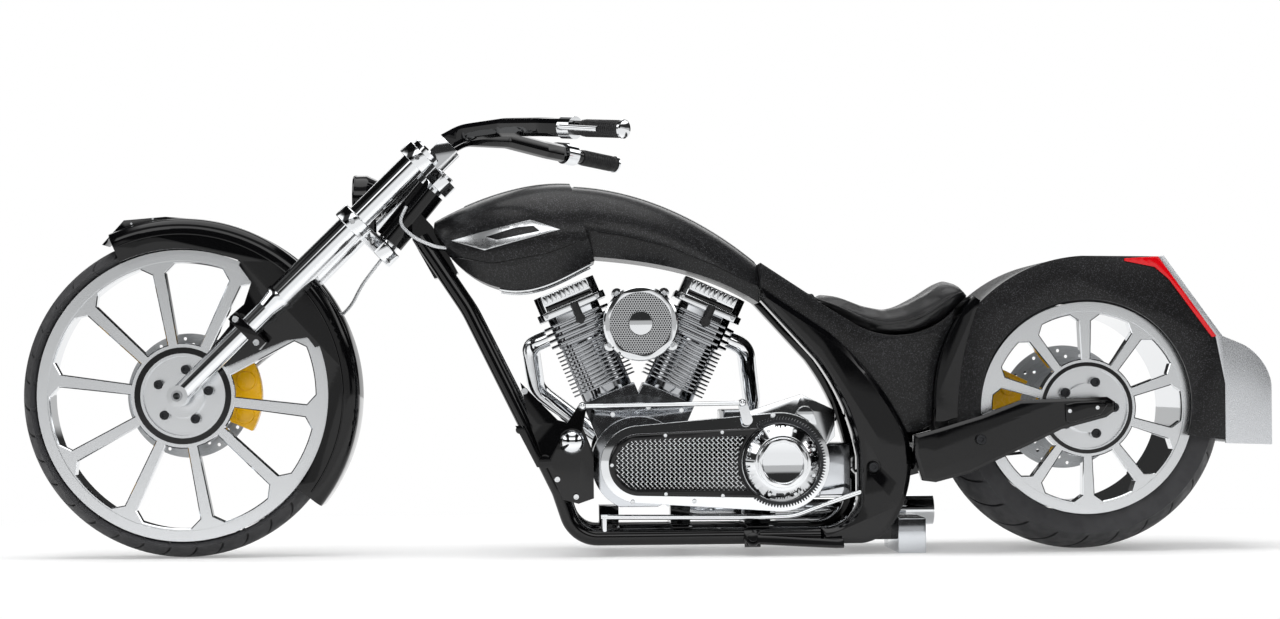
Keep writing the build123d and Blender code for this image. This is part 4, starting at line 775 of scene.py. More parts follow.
def tyre_mesh(node, rim_node, grooves, sweep_deg, inner, outer, width, depth):
    """A tyre turned on its hub, with swept grooves cut in both shoulders.

    inner and outer say where a groove runs, as shares of the half width.
    """
    hub = centre(node)
    half = half_size(node)
    radius = half.z
    bead = half_size(rim_node).z + BEAD_LIFT
    drop = SHOULDER_DROP[node]
    shoulder = radius - drop
    narrow = BEAD_SHARE[node]
    # Half section from the bead out and over the crown: radius and half width of each ring
    section = []
    for i in range(WALL_STEPS + 1):
        t = i / WALL_STEPS
        wide = narrow + (1 - narrow) * math.sin(t * math.pi / 2) - WALL_DISH * math.sin(math.pi * t)
        section.append((bead + (shoulder - bead) * t, half.y * wide))
    bend = (half.y ** 2 + drop ** 2) / (2 * drop)
    for i in range(1, CROWN_STEPS + 1):
        y = half.y * (1 - i / CROWN_STEPS)
        section.append((radius - bend + math.sqrt(bend ** 2 - y ** 2), y))
    rings = section + [(r, -y) for r, y in reversed(section[:-1])]
    # Columns of one groove's pitch round the hub: angle, and 1 on the groove's floor
    pitch = 2 * math.pi / grooves
    mouth = (0.5 + GROOVE_SLOPE) * width / radius
    floor = (0.5 - GROOVE_SLOPE) * width / radius
    columns = [(-mouth, 0.0), (-floor, 1.0), (floor, 1.0), (mouth, 0.0)]
    land = pitch - 2 * mouth
    columns += [(mouth + land * (k + 1) / (PLAIN_COLUMNS + 1), 0.0) for k in range(PLAIN_COLUMNS)]
    points = []
    groove_shade = []
    for g in range(grooves):
        for turn, cut in columns:
            for r, y in rings:
                share = abs(y) / half.y
                run = (share - inner) / (outer - inner)
                cut_here = 0 < run < 1 and r > shoulder - GROOVE_PAST * drop
                fade = min(1.0, GROOVE_FADE * run, GROOVE_FADE * (1 - run)) if cut_here else 0.0
                a = g * pitch + turn + math.radians(sweep_deg) * (1 - share) ** SWEEP_BEND
                if y < 0:
                    a += pitch / 2
                low = r - depth * cut * fade
                # 1 on the groove's floor, where the tyre's finish paints the groove's shade
                groove_shade.append(cut * fade)
                points.append((hub.x + low * math.cos(a), hub.y + y, hub.z + low * math.sin(a)))
    faces = ring_faces(grooves * len(columns), len(rings), closed=True)
    mesh = rounded(mesh_from(node + "_tread", points, faces))
    mesh.attributes.new("groove", "FLOAT", "POINT").data.foreach_set("value", groove_shade)
    return mesh


class CRUISER_OT_tyres(bpy.types.Operator):
    """Turns both tyres and cuts their tread"""
    bl_idname = "cruiser.tyres"
    bl_label = "Tyres"

    def execute(self, context):
        own = settings("tyres")
        for end, grooves, sweep_deg, inner, outer in (("front", own.front_grooves, -9.0, 0.35, 0.98),
                                                      ("rear", own.rear_grooves, -13.0, 0.16, 0.97)):
            node = end + "_tyre"
            rim = end + "_wheel"
            mesh = tyre_mesh(node, rim, grooves, sweep_deg, inner, outer, own.groove_width, own.groove_depth)
            item = piece(node + "_tread", mesh, "tyre", rim + "_body", "tyre")
            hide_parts(node)
        return {"FINISHED"}


# Saddle: stations from the nose to the back, in millimetres
SADDLE_TOP = ((395, 594), (425, 592), (460, 586), (515, 563), (562, 553), (603, 562), (654, 588), (698, 620),
              (728, 622), (750, 592))
SADDLE_HALF = ((395, 58), (440, 84), (540, 118), (650, 139), (720, 134), (750, 118))


def along(table, x):
    return float(np.interp(x, [p[0] for p in table], [p[1] for p in table]))


# A table's corners are rounded over this many millimetres to each side, with these weights
EASE_MM = 14.0
EASE_WEIGHTS = (1, 2, 3, 4, 3, 2, 1)


def eased(table, x):
    """The table's value with its corners rounded over a small window."""
    steps = np.linspace(-EASE_MM, EASE_MM, len(EASE_WEIGHTS))
    return float(np.average([along(table, x + step) for step in steps], weights=EASE_WEIGHTS))


def seat_floor(skin, x):
    """Height of the seat's underside, where it lies on its pan."""
    return skin.ray_cast(Vector((x * MM, 0, 0.2)), Vector((0, 0, 1)))[0].z / MM


SADDLE_STATIONS = 46
SADDLE_AROUND = 40
# Millimetres: how far the hide stays inside its stations' ends, above its pan and inside its full size,
# and the least half height of its thin ends
SADDLE_IN = 3.0
PAN_CLEAR = 1.0
SADDLE_SHRINK = 4.0
LEAST_HALF_TALL = 2.0
# Powers that square off the section across and upright: 1 is an ellipse, and less is squarer
SQUARE_ACROSS = 0.55
SQUARE_UP = 0.8


def saddle_mesh(skin):
    """The hide before it is stuffed, a closed form from nose to back."""
    first = SADDLE_TOP[0][0] + SADDLE_IN
    last = SADDLE_TOP[-1][0] - SADDLE_IN
    points = []
    for i in range(SADDLE_STATIONS):
        t = i / (SADDLE_STATIONS - 1)
        x = first + (last - first) * (0.5 - 0.5 * math.cos(math.pi * t))
        top = eased(SADDLE_TOP, x) - SADDLE_SHRINK
        low = seat_floor(skin, x) + PAN_CLEAR
        half = eased(SADDLE_HALF, x) - SADDLE_SHRINK
        mid = (top + low) / 2
        tall = max((top - low) / 2, LEAST_HALF_TALL)
        for k in range(SADDLE_AROUND):
            a = 2 * math.pi * k / SADDLE_AROUND
            c = math.cos(a)
            s = math.sin(a)
            y = half * math.copysign(abs(c) ** SQUARE_ACROSS, c)
            z = mid + tall * math.copysign(abs(s) ** SQUARE_UP, s)
            points.append((x * MM, y * MM, z * MM))
    faces = ring_faces(SADDLE_STATIONS, SADDLE_AROUND)
    faces.append(reversed(range(SADDLE_AROUND)))
    faces.append(range(len(points) - SADDLE_AROUND, len(points)))
    return outward(mesh_from("saddle", points, faces))


HIDE_VOXEL = 5 * MM
STUFFING_FRAMES = 20


def stuffed(item, pressure, most):
    """Swells a closed hide by cloth simulation, with no point moving further than the given distance."""
    remesh = item.modifiers.new("Remesh", "REMESH")
    remesh.mode = "VOXEL"
    remesh.voxel_size = HIDE_VOXEL
    baked(item)
    rest = np.array([v.co for v in item.data.vertices])
    cloth = item.modifiers.new("Cloth", "CLOTH")
    cloth.settings.use_pressure = True
    cloth.settings.uniform_pressure_force = pressure
    cloth.settings.effector_weights.gravity = 0
    cloth.settings.quality = 5
    cloth.point_cache.frame_end = STUFFING_FRAMES
    for step in range(1, STUFFING_FRAMES + 1):
        bpy.context.scene.frame_set(step)
    mesh = baked(item)
    bpy.context.scene.frame_set(1)
    moved = np.array([v.co for v in mesh.vertices])
    shift = moved - rest
    far = np.linalg.norm(shift, axis=1, keepdims=True)
    shift *= np.minimum(1.0, most / np.maximum(far, 1e-9))
    mesh.vertices.foreach_set("co", (rest + shift).ravel())
    mesh.update()


# Sewn edge of the saddle: millimetres in from its ends and its side, and its share of the saddle's height
WELT_IN = 12
WELT_SUNK = 3.5
WELT_HEIGHT = 0.45
WELT_POINTS = 71


class CRUISER_OT_saddle(bpy.types.Operator):
    """Pads the saddle and sews its edge"""
    bl_idname = "cruiser.saddle"
    bl_label = "Saddle"

    def execute(self, context):
        own = settings("seat")
        skin = surface("seat")
        item = piece("saddle_hide", saddle_mesh(skin), "leather", "frame_body", "leather")
        stuffed(item, own.pressure, own.swell)
        divide = item.modifiers.new("Smooth", "SUBSURF")
        divide.levels = 1
        divide.render_levels = 1
        baked(item)
        item.data.shade_smooth()
        item.data.materials.clear()
        item.data.materials.append(finish("leather"))
        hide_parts("seat")
        for side, word in SIDES:
            path = []
            for x in np.linspace(SADDLE_TOP[0][0] + WELT_IN, SADDLE_TOP[-1][0] - WELT_IN, WELT_POINTS):
                mid = eased(SADDLE_TOP, x) * WELT_HEIGHT + seat_floor(skin, x) * (1 - WELT_HEIGHT)
                path.append((x * MM, side * (eased(SADDLE_HALF, x) - WELT_SUNK) * MM, mid * MM))
            welt = tube_mesh("saddle_welt_" + word, path, radius=own.piping, sides=8)
            piece("saddle_welt_" + word, welt, "leather", "frame_body", "leather")
        return {"FINISHED"}


def hull_gap(x, z, a, ra, b, rb):
    """How far a point lies inside the outline of a belt round two circles; negative outside."""
    best = max(ra - math.hypot(x - a.x, z - a.z), rb - math.hypot(x - b.x, z - b.z))
    steps = 24
    for k in range(1, steps):
        t = k / steps
        px = a.x + (b.x - a.x) * t
        pz = a.z + (b.z - a.z) * t
        best = max(best, ra + (rb - ra) * t - math.hypot(x - px, z - pz))
    return best


# Primary screen: radii of its window at both ends and of the round cover, how deep it lies behind the grille's
# face, how far it tucks under what frames it, and where its grid starts
WINDOW_CRANK_R = 56 * MM
WINDOW_CLUTCH_R = 64 * MM
COVER_CUT_R = 99 * MM
WEAVE_DEPTH = 12 * MM
WEAVE_TUCK = 1.5 * MM
WEAVE_START = CRANK + Vector((0.12, 0, 0))
WEAVE_REACH = 60
WIRE_STATIONS = 5
WIRE_SIDES = 6


def weave_cell(pitch, radius):
    """Two short bent wires that cross, one over and one under, square to each other."""
    points = []
    faces = []
    for wire, lift in ((0, 1), (1, -1)):
        base = len(points)
        for s in range(WIRE_STATIONS):
            u = (s / (WIRE_STATIONS - 1) - 0.5) * pitch
            h = lift * radius * math.cos(math.pi * u / pitch)
            for q in range(WIRE_SIDES):
                a = 2 * math.pi * q / WIRE_SIDES
                across = radius * math.cos(a)
                up = radius * math.sin(a) + h
                points.append((u, across, up) if wire == 0 else (across, u, up))
        for quad in ring_faces(WIRE_STATIONS, WIRE_SIDES):
            quad = [base + corner for corner in quad]
            faces.append(quad if wire else quad[::-1])
    return mesh_from("weave_cell", points, faces)


class CRUISER_OT_wire_screen(bpy.types.Operator):
    """Weaves the wire screen of the primary cover"""
    bl_idname = "cruiser.wire_screen"
    bl_label = "Primary screen"

    def execute(self, context):
        own = settings("screens")
        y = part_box("grille")[0].y + WEAVE_DEPTH
        pitch = own.wire_pitch
        spots = []
        for i in range(-WEAVE_REACH, WEAVE_REACH):
            for j in range(-WEAVE_REACH, WEAVE_REACH):
                x = WEAVE_START.x + (i - j) * pitch * math.sqrt(0.5)
                z = WEAVE_START.z + (i + j) * pitch * math.sqrt(0.5)
                if math.hypot(x - CLUTCH.x, z - CLUTCH.z) < COVER_CUT_R - WEAVE_TUCK or x > CLUTCH.x:
                    continue
                if hull_gap(x, z, CRANK, WINDOW_CRANK_R, CLUTCH, WINDOW_CLUTCH_R) < -WEAVE_TUCK:
                    continue
                flip = math.pi / 2 if (i + j) % 2 else 0.0
                turn = (Matrix.Rotation(math.radians(45), 3, "Y") @ Matrix.Rotation(math.pi / 2, 3, "X")
                        @ Matrix.Rotation(flip, 3, "Z"))
                spots.append(((x, y, z), tuple(turn.to_euler()), 1.0))
        cell = weave_cell(pitch, own.wire_radius)
        item = repeat("primary_wire_screen", cell, spots, "chrome", "frame_body", "steel")
        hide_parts("grille_screen")
        return {"FINISHED"}


# Air screen: depth behind the cleaner's face, thickness and radii, with the pad's thickness and place behind it
AIR_SCREEN_DEPTH = 8 * MM
AIR_SCREEN_THICK = 1.5 * MM
AIR_SCREEN_R = (26 * MM, 71 * MM)
AIR_SCREEN_REACH = 20
PAD_R = (26.5, 69.5)
PAD_THICK = 2
PAD_Y = -180.2 * MM
# Patches overlap by a thousandth, so that no light shows between them
PATCH_LAP = 1.001


def pierced_cell(pitch, hole, thick):
    """One six-sided patch of sheet with a round hole through it."""
    turns = [math.pi * q / 6 for q in range(12)]
    points = []
    for a in turns:
        edge = PATCH_LAP * pitch / 2 / math.cos(a % (math.pi / 3) - math.pi / 6)
        points.append((edge * math.cos(a), edge * math.sin(a), 0.0))
    for z in (0.0, -thick):
        points += [(hole * math.cos(a), hole * math.sin(a), z) for a in turns]
    return mesh_from("pierced_cell", points, ring_faces(3, len(turns)))


class CRUISER_OT_air_screen(bpy.types.Operator):
    """Lays the pierced screen over the air cleaner"""
    bl_idname = "cruiser.air_screen"
    bl_label = "Air screen"

    def execute(self, context):
        own = settings("screens")
        pitch = own.hole_pitch
        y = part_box("air_cleaner")[0].y + AIR_SCREEN_DEPTH
        spots = []
        turn = tuple((Matrix.Rotation(math.pi / 2, 3, "X") @ Matrix.Rotation(math.pi / 6, 3, "Z")).to_euler())
        for i in range(-AIR_SCREEN_REACH, AIR_SCREEN_REACH + 1):
            for j in range(-AIR_SCREEN_REACH, AIR_SCREEN_REACH + 1):
                x = (i + j / 2) * pitch
                z = j * pitch * math.sqrt(3) / 2
                if AIR_SCREEN_R[0] < math.hypot(x, z) < AIR_SCREEN_R[1]:
                    spots.append(((AIR.x + x, y, AIR.z + z), turn, 1.0))
        cell = pierced_cell(pitch, own.hole_radius, AIR_SCREEN_THICK)
        item = repeat("air_pierced_screen", cell, spots, "chrome", "frame_body", "steel")
        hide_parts("air_screen")
        pad = flat_ring("filter_pad", *PAD_R, PAD_THICK)
        place = ((AIR.x, PAD_Y, AIR.z), facing(LEFT), 1.0)
        repeat("filter_pad", pad, [place], "rubber", "frame_body", "rubber")
        return {"FINISHED"}


# Screws of the left side: node that each is set in, its x and z, and the head's radius, in millimetres
FRAME_SCREWS = (
    ("grille", 54, 275, 4.5), ("grille", 54, 143, 4.5), ("grille", 182, 281, 4.5), ("grille", 182, 138, 4.5),
    ("grille", -67, 209, 4.5), ("foot_controls", -262, 378, 8), ("foot_controls", -148, 138, 7),
    ("foot_controls", -190, 178, 7),
    ("rear_axle", 958, 321, 5), ("rear_axle", 1020, 328, 5), ("primary_plate", 120, 124, 5),
    ("primary_plate", -20, 124, 5), ("primary_plate", 300, 318, 6), ("crankcase", -62, 322, 6),
    ("crankcase", 20, 338, 6), ("crankcase", 96, 330, 6),
)
# These screws are dark to stand in for the shaded recess on the boots and the dark emblem on the swingarm:
# partly painted shade
DARK_SCREWS = (("swingarm", 759, 259, 12), ("boots", 526, 198, 12))
# Screws at the fork's sides: x and z from the front hub, distance from the middle plane, and the head's radius
STEERING_SCREWS = ((136, 173, 143.5, 8), (183, 120, 143.5, 8))
# Clamp screws: heights along the fork, and distance from the middle plane
CLAMP_UP = (562.0, 768.0)
CLAMP_Y = 156.5
# Angles of the air cleaner's lugs and of the fender's screws
LUG_DEG = (52.0, 128.0, 215.0, 325.0)
FENDER_SCREW_DEG = (99, 106)
# Hubs: wheel, hub, y of the left bolts, their first angle, y of the right bolts, and radii of the black ring,
# which is put where the hub's edge lies in shade: painted shade
HUBS = (("front_wheel", FRONT_HUB, -51, 10.5, 65, (98, 112)),
        ("rear_wheel", REAR_HUB, -129, 0.6, 188, (95, 104)))
# How far the black ring's back lies behind the left bolts' feet
RING_BACK = 1.8


class CRUISER_OT_screws(bpy.types.Operator):
    """Sets the screws of the covers, hubs and clamps"""
    bl_idname = "cruiser.screws"
    bl_label = "Screws"

    def execute(self, context):
        fixed = [spot(x, left_face(node, x, z), z, LEFT, r) for node, x, z, r in FRAME_SCREWS]
        fixed += circle_spots(CLUTCH, y=-183.5, radius=77, count=8, first_deg=22.5, axis=LEFT, size=4.0)
        for deg in LUG_DEG:
            fixed += circle_spots(AIR, y=-182, radius=86, count=1, first_deg=deg, axis=LEFT, size=6.0)
        for lean in CYLINDER_LEAN_DEG:
            for across in (-62, 0, 62):
                place = leaned(CRANK, lean, across, y=-75, up=392)
                fixed.append((tuple(place), facing(LEFT), 4.5 * MM))
        repeat("frame_screws", socket_screw(), fixed, "chrome", "frame_body", "chrome")

        dark = [spot(x, left_face(node, x, z), z, LEFT, r) for node, x, z, r in DARK_SCREWS]
        repeat("dark_screws", socket_screw(), dark, "dark_steel_and_shade", "frame_body", "steel")

        turning = []
        for axis, side in ((LEFT, -1), (RIGHT, 1)):
            for dx, dz, y, r in STEERING_SCREWS:
                turning.append(spot(FRONT_HUB.x / MM + dx, side * y, FRONT_HUB.z / MM + dz, axis, r))
            for up in CLAMP_UP:
                place = leaned(FRONT_HUB, FORK_RAKE_DEG, across=0, y=side * CLAMP_Y, up=up)
                turning.append((tuple(place), facing(axis), 7 * MM))
            for deg in FENDER_SCREW_DEG:
                turning += circle_spots(FRONT_HUB, y=side * 50, radius=414, count=1, first_deg=deg, axis=axis,
                                        size=3.0)
        repeat("steering_screws", socket_screw(), turning, "chrome", "steering_body", "chrome")

        for name, hub, left, first, right, radii in HUBS:
            # The hub bolts are darkened to stand in for the shade of their counterbores: painted shade
            spots = circle_spots(hub, y=left, radius=61, count=5, first_deg=first, axis=LEFT, size=11.0)
            spots += circle_spots(hub, y=right, radius=40, count=5, first_deg=first, axis=RIGHT, size=6.0)
            repeat(name + "_screws", socket_screw(), spots, "dark_steel_and_shade", name + "_body", "steel")
            # A black ring at the hub's edge: painted shade
            ring = flat_ring(name + "_groove", *radii, 1, 72)
            place = ((hub.x, (left + RING_BACK) * MM, hub.z), facing(LEFT), 1.0)
            repeat(name + "_groove", ring, [place], "enamel", name + "_body", "gloss_black")
        return {"FINISHED"}


# Trim: the small fitted pieces that finish the machine, in millimetres
FENDER_BEAD_R = 372
FORK_Y = 115
SEAL_UP = 322
BEZEL_BACK = 3
GRIP_AT = Vector((-126, 344, 952))
GRIP_ALONG = Vector((89, 82, -12)).normalized()
GRIP_LENGTH = 115
GRIP_RIBS = range(12, 106, 6)
# Line of the tank's crease along its side: (x, z)
FRONT_CREASE = ((-432, 690), (-333, 668), (-208, 689), (-116, 722))
SPINE_CREASE = ((-92, 738), (-30, 728), (74, 701), (179, 658), (266, 614))
# Gloss strip on the ridge: its section as (y, lift over the tank), and where it runs on each piece of the tank
STRIP_SECTION = ((-24, -0.3), (-22, 1.2), (-11, 2.2), (0, 2.5), (11, 2.2), (22, 1.2), (24, -0.3))
STRIP_RUNS = (("tank_front", -400, -155), ("tank_spine", -146, 272))
STRIP_STEPS = 60
# Bright lip under the tank's edge: where it runs, its distance from the middle plane, and how far its
# middle hangs below the tank
LIP_RUN = range(-318, -104, 6)
LIP_Y = 84
LIP_DROP = 3.2


def arc_path(hub, y, radius, first_deg, last_deg, steps):
    """Points along an arc round a hub, in the machine's side plane."""
    path = []
    for i in range(steps + 1):
        a = math.radians(first_deg + (last_deg - first_deg) * i / steps)
        path.append((hub.x + radius * MM * math.cos(a), y * MM, hub.z + radius * MM * math.sin(a)))
    return path


def toothed_ring(name, hub, y0, y1, inner, root, tip, teeth, first_deg, last_deg):
    """A stretch of a ring gear: flat sides, square teeth outside."""
    points = []
    faces = []
    steps = teeth * 4
    for i in range(steps + 1):
        a = math.radians(first_deg + (last_deg - first_deg) * i / steps)
        outer = tip if (i // 2) % 2 else root
        for r in (inner, outer):
            for y in (y0, y1):
                points.append((hub.x + r * MM * math.cos(a), y * MM, hub.z + r * MM * math.sin(a)))
    for i in range(steps):
        a = 4 * i
        b = a + 4
        faces += [(a, b, b + 2, a + 2), (a + 1, a + 3, b + 3, b + 1), (a + 2, b + 2, b + 3, a + 3),
                  (a, a + 1, b + 1, b)]
    faces += [(0, 2, 3, 1), (4 * steps, 4 * steps + 1, 4 * steps + 3, 4 * steps + 2)]
    return rounded(mesh_from(name, points, faces))


class CRUISER_OT_engine_trim(bpy.types.Operator):
    """Adds the ring gear and the rocker panels"""
    bl_idname = "cruiser.engine_trim"
    bl_label = "Engine trim"

    def execute(self, context):
        ring = toothed_ring("ring_gear", CLUTCH, y0=-148, y1=-140.2, inner=90, root=97, tip=103, teeth=64,
                            first_deg=-128, last_deg=122)
        piece("ring_gear", ring, "dark_steel_and_shade", "frame_body", "steel")
        panels = []
        for lean in CYLINDER_LEAN_DEG:
            turn = tuple(Matrix.Rotation(math.radians(lean), 3, "Y").to_euler())
            for side in (-1, 1):
                place = leaned(CRANK, lean, across=0, y=side * 63.2, up=408)
                panels.append((tuple(place), turn, 1.0))
        panel = block_mesh("rocker_panel", size=(111 * MM, 2 * MM, 11 * MM), edge=0.6 * MM)
        repeat("rocker_panels", panel, panels, "enamel", "frame_body", "gloss_black")
        return {"FINISHED"}


class CRUISER_OT_front_trim(bpy.types.Operator):
    """Adds the fender beads, fork seals, lamp ring, grip ribs and grip ends"""
    bl_idname = "cruiser.front_trim"
    bl_label = "Front trim"

    def execute(self, context):
        for side, word in SIDES:
            path = arc_path(FRONT_HUB, y=side * 79.2, radius=FENDER_BEAD_R, first_deg=-37, last_deg=112,
                            steps=70)
            bead = tube_mesh("fender_bead_" + word, path, radius=2.0 * MM, sides=8)
            piece("fender_bead_" + word, bead, "enamel", "steering_body", "gloss_black")
        seals = []
        rake = facing(leaned(Vector(), FORK_RAKE_DEG, across=0, y=0, up=1))
        for side in (-1, 1):
            place = leaned(FRONT_HUB, FORK_RAKE_DEG, across=0, y=side * FORK_Y, up=SEAL_UP)
            seals.append((tuple(place), rake, 1.0))
        ring = turned_mesh("fork_seal", ((29.2, -5), (31.4, -5), (32, 0), (31.4, 5), (29.2, 5)))
        repeat("fork_seals", ring, seals, "chrome", "steering_body", "chrome")
        bezel = turned_mesh("lamp_ring", ((49.4, -1), (57, -1), (57.5, 2), (54, 6), (49.4, 5)))
        glass = centre("headlight_lens")
        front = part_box("headlight_lens")[0].x
        lamp = ((front + BEZEL_BACK * MM, glass.y, glass.z), facing((-1, 0, 0)), 1.0)
        repeat("lamp_ring", bezel, [lamp], "enamel", "steering_body", "gloss_black")
        ribs = []
        ends = []
        for side in (-1, 1):
            way = Vector((GRIP_ALONG.x, side * GRIP_ALONG.y, GRIP_ALONG.z))
            start = Vector((GRIP_AT.x, side * GRIP_AT.y, GRIP_AT.z))
            ribs += [(tuple((start + way * reach) * MM), facing(way), 1.0) for reach in GRIP_RIBS]
            ends.append((tuple((start + way * GRIP_LENGTH) * MM), facing(way), 1.0))
        rib = turned_mesh("grip_rib", ((18, -2), (19.4, -1.4), (19.4, 1.4), (18, 2)), 28)
        repeat("grip_ribs", rib, ribs, "rubber", "steering_body", "rubber")
        end = turned_mesh("grip_end", ((0.1, 0.2), (20.5, 0.2), (20.5, 5), (17, 8), (0.1, 8.5)), 32)
        repeat("grip_ends", end, ends, "chrome", "steering_body", "chrome")
        return {"FINISHED"}


class CRUISER_OT_body_trim(bpy.types.Operator):
    """Adds the gloss strip along the tank's ridge, its crease lines and the bright lip under it"""
    bl_idname = "cruiser.body_trim"
    bl_label = "Tank trim"

    def execute(self, context):
        down = Vector((0, 0, -1))
        for node, first, last in STRIP_RUNS:
            skin = surface(node)
            points = []
            faces = []
            for i in range(STRIP_STEPS + 1):
                x = (first + (last - first) * i / STRIP_STEPS) * MM
                for y, lift in STRIP_SECTION:
                    place = skin.ray_cast(Vector((x, y * MM, 1.5)), down)[0]
                    points.append(place + Vector((0, 0, lift * MM)))
            count = len(STRIP_SECTION)
            for i in range(STRIP_STEPS):
                for k in range(count - 1):
                    a = i * count + k
                    faces.append((a, a + count, a + count + 1, a + 1))
            strip = mesh_from(node + "_strip", points, faces)
            smooth(strip, 50)
            piece(node + "_strip", strip, "enamel", "frame_body", "gloss_black")
        for node, crease in (("tank_front", FRONT_CREASE), ("tank_spine", SPINE_CREASE)):
            skin = surface(node)
            for side, word in SIDES:
                path = []
                for x in range(crease[0][0], crease[-1][0], 6):
                    start = Vector((x * MM, side, eased(crease, x) * MM))
                    path.append(skin.ray_cast(start, Vector((0, -side, 0)))[0])
                seam = tube_mesh(node + "_seam_" + word, path, radius=1.6 * MM, sides=8)
                piece(node + "_seam_" + word, seam, "enamel", "frame_body", "gloss_black")
        skin = surface("tank_front")
        for side, word in SIDES:
            path = []
            for x in LIP_RUN:
                place = skin.ray_cast(Vector((x * MM, side * LIP_Y * MM, 0.3)), -down)[0]
                path.append(place + down * LIP_DROP * MM)
            lip = tube_mesh("tank_lip_" + word, path, radius=4.0 * MM)
            piece("tank_lip_" + word, lip, "chrome", "frame_body", "chrome")
        return {"FINISHED"}


def soft_light(name, size, place, turn, power):
    """A rectangular lamp that no mirror shows."""
    light = bpy.data.lights.new(name, "AREA")
    light.shape = "RECTANGLE"
    light.size = size[0]
    light.size_y = size[1]
    light.energy = power
    item = bpy.data.objects.new(name, light)
    item.location = place
    item.rotation_euler = turn
    item.visible_glossy = False
    bpy.context.scene.collection.objects.link(item)


# Camera: where it stands, how far the picture's middle lies from the point straight ahead, and its small roll
CAMERA_PLACE = Vector((-0.182, -5.6, 0.400))
CAMERA_SHIFT = (0.0625, 0.0559)
CAMERA_ROLL_DEG = 0.6
# Half the width of the floor
FLOOR_REACH = 40.0
# What bright metal mirrors, as shares of the strip's light. By height of the view: a grey low wall, a dark gap,
# the bright strip, a dim gap and the ceiling's box. By how far the view turns aside: dark flags at both sides.
STRIP_LIGHT = 2.2
ROOM_BANDS = ((0.07, 0.25), (0.10, 0.014), (0.30, 0.014), (0.36, 1.0), (0.58, 1.0), (0.66, 0.09),
              (0.84, 0.09), (0.90, 0.9))
FLAG_BANDS = ((0.36, 1.0), (0.44, 0.02), (0.70, 0.02), (0.80, 1.0))


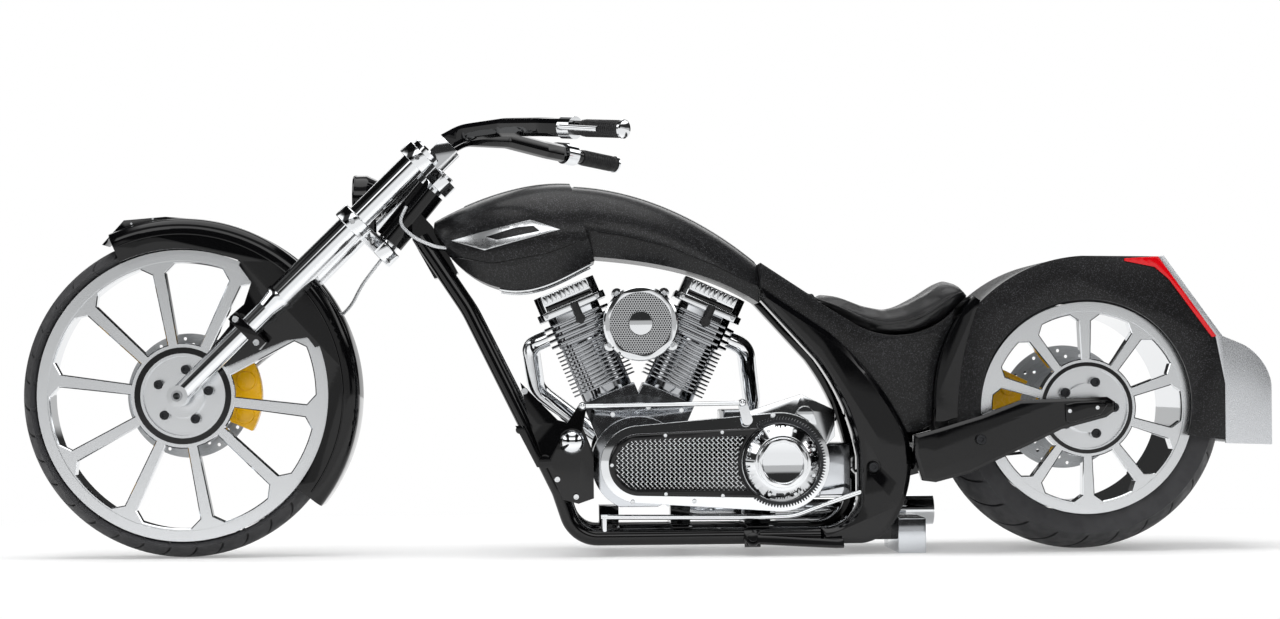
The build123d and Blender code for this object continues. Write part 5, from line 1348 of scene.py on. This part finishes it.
class CRUISER_OT_stage(bpy.types.Operator):
    """Sets the pale floor, the soft light and the camera"""
    bl_idname = "cruiser.stage"
    bl_label = "Studio"

    def execute(self, context):
        own = settings("stage")
        scene = context.scene
        scene.view_settings.view_transform = "Standard"
        corners = [(x * FLOOR_REACH, y * FLOOR_REACH, 0) for x, y in ((-1, -1), (1, -1), (1, 1), (-1, 1))]
        mesh = mesh_from("studio_floor", corners, [(0, 1, 2, 3)])
        linked("studio_floor", mesh)
        material, tree, shader, place = start_finish("painted_floor", own.floor, 0.0, 0.6)
        path = add_node(tree, "ShaderNodeLightPath").outputs
        seen = add_node(tree, "ShaderNodeMath", {"operation": "MAXIMUM"}, _0=path["Is Camera Ray"],
                        _1=path["Is Glossy Ray"])
        # The floor turns white away from the machine, so that only its own shade is left
        wide = add_node(tree, "ShaderNodeVectorMath", {"operation": "MULTIPLY"}, Vector=place,
                        _1=(0.45, 1.0, 0.0))
        away = add_node(tree, "ShaderNodeVectorMath", {"operation": "LENGTH"}, Vector=wide.outputs["Vector"])
        pale = add_node(tree, "ShaderNodeMapRange", {"interpolation_type": "SMOOTHSTEP"},
                        Value=away.outputs["Value"], From_Min=0.5, From_Max=1.7, To_Min=0.3, To_Max=1.0)
        seen = add_node(tree, "ShaderNodeMath", {"operation": "MULTIPLY"}, _0=seen.outputs["Value"],
                        _1=pale.outputs["Result"])
        glow = add_node(tree, "ShaderNodeEmission", Color=(1, 1, 1, 1), Strength=1.0)
        both = add_node(tree, "ShaderNodeMixShader", _0=seen.outputs["Value"], _1=shader.outputs["BSDF"],
                        _2=glow.outputs["Emission"])
        tree.links.new(both.outputs["Shader"], tree.nodes["Material Output"].inputs["Surface"])
        mesh.materials.append(material)

        world = bpy.data.worlds.new("studio")
        scene.world = world
        world.use_nodes = True
        tree = world.node_tree
        tree.nodes.clear()
        path = add_node(tree, "ShaderNodeLightPath").outputs
        way = add_node(tree, "ShaderNodeTexCoord").outputs["Generated"]
        up = add_node(tree, "ShaderNodeSeparateXYZ", Vector=way)
        aside = add_node(tree, "ShaderNodeMath", {"operation": "ABSOLUTE"}, _0=up.outputs["X"])
        levels = []
        for value, bands in ((up.outputs["Z"], ROOM_BANDS), (aside.outputs["Value"], FLAG_BANDS)):
            ramp = add_node(tree, "ShaderNodeValToRGB", Fac=value)
            for position, level in bands[1:-1]:
                ramp.color_ramp.elements.new(position)
            for element, (position, level) in zip(ramp.color_ramp.elements, bands):
                element.position = position
                element.color = (level, level, level, 1)
            levels.append(ramp.outputs["Color"])
        fill = add_node(tree, "ShaderNodeBackground", Color=(1, 1, 1, 1), Strength=own.ambient)
        shaded = add_node(tree, "ShaderNodeMix", {"data_type": "RGBA", "blend_type": "MULTIPLY"}, _0=1.0,
                          _6=levels[0], _7=levels[1])
        mirror = add_node(tree, "ShaderNodeBackground", Color=shaded.outputs[2], Strength=STRIP_LIGHT)
        white = add_node(tree, "ShaderNodeBackground", Color=(1, 1, 1, 1), Strength=1.0)
        glossy = add_node(tree, "ShaderNodeMath", {"operation": "MAXIMUM"}, _0=path["Is Glossy Ray"],
                          _1=path["Is Transmission Ray"])
        first = add_node(tree, "ShaderNodeMixShader", _0=glossy.outputs["Value"],
                         _1=fill.outputs["Background"], _2=mirror.outputs["Background"])
        last = add_node(tree, "ShaderNodeMixShader", _0=path["Is Camera Ray"], _1=first.outputs["Shader"],
                        _2=white.outputs["Background"])
        add_node(tree, "ShaderNodeOutputWorld", Surface=last.outputs["Shader"])

        soft_light("soft_box", size=(4.2, 2.4), place=(-0.1, -0.4, 3.4), turn=(0, 0, 0), power=own.key)
        soft_light("front_box", size=(3.6, 1.2), place=(-0.2, -4.2, 2.4), turn=(math.radians(62), 0, 0),
                   power=own.key * 0.35)

        camera = bpy.data.cameras.new("camera")
        camera.lens = own.lens
        camera.sensor_width = 36.0
        camera.shift_x, camera.shift_y = CAMERA_SHIFT
        camera.clip_end = 200
        eye = bpy.data.objects.new("camera", camera)
        eye.location = CAMERA_PLACE
        eye.rotation_euler = (math.pi / 2, math.radians(CAMERA_ROLL_DEG), 0)
        scene.collection.objects.link(eye)
        scene.camera = eye
        return {"FINISHED"}


OPERATORS = (CRUISER_OT_finish_nodes, CRUISER_OT_tyres, CRUISER_OT_saddle, CRUISER_OT_wire_screen,
             CRUISER_OT_air_screen, CRUISER_OT_screws, CRUISER_OT_engine_trim, CRUISER_OT_front_trim,
             CRUISER_OT_body_trim, CRUISER_OT_stage)


class CRUISER_PT_panel(bpy.types.Panel):
    """Lists the cruiser's settings and steps"""
    bl_idname = "CRUISER_PT_panel"
    bl_label = "Cruiser"
    bl_space_type = "VIEW_3D"
    bl_region_type = "UI"
    bl_category = "Cruiser"

    def draw(self, context):
        for name, group in GROUPS.items():
            box = self.layout.box()
            box.label(text=group.__doc__)
            for key in group.__annotations__:
                box.prop(getattr(context.scene, name), key)
        for operator in OPERATORS:
            self.layout.operator(operator.bl_idname)


def register():
    for group in GROUPS.values():
        bpy.utils.register_class(group)
    for name, group in GROUPS.items():
        setattr(bpy.types.Scene, name, PointerProperty(type=group))
    for operator in OPERATORS:
        bpy.utils.register_class(operator)
    bpy.utils.register_class(CRUISER_PT_panel)


def unregister():
    bpy.utils.unregister_class(CRUISER_PT_panel)
    for operator in reversed(OPERATORS):
        bpy.utils.unregister_class(operator)
    for name, group in GROUPS.items():
        delattr(bpy.types.Scene, name)
        bpy.utils.unregister_class(group)


def main():
    register()
    for operator in OPERATORS:
        family, name = operator.bl_idname.split(".")
        getattr(getattr(bpy.ops, family), name)()


if __name__ == "__main__":
    main()
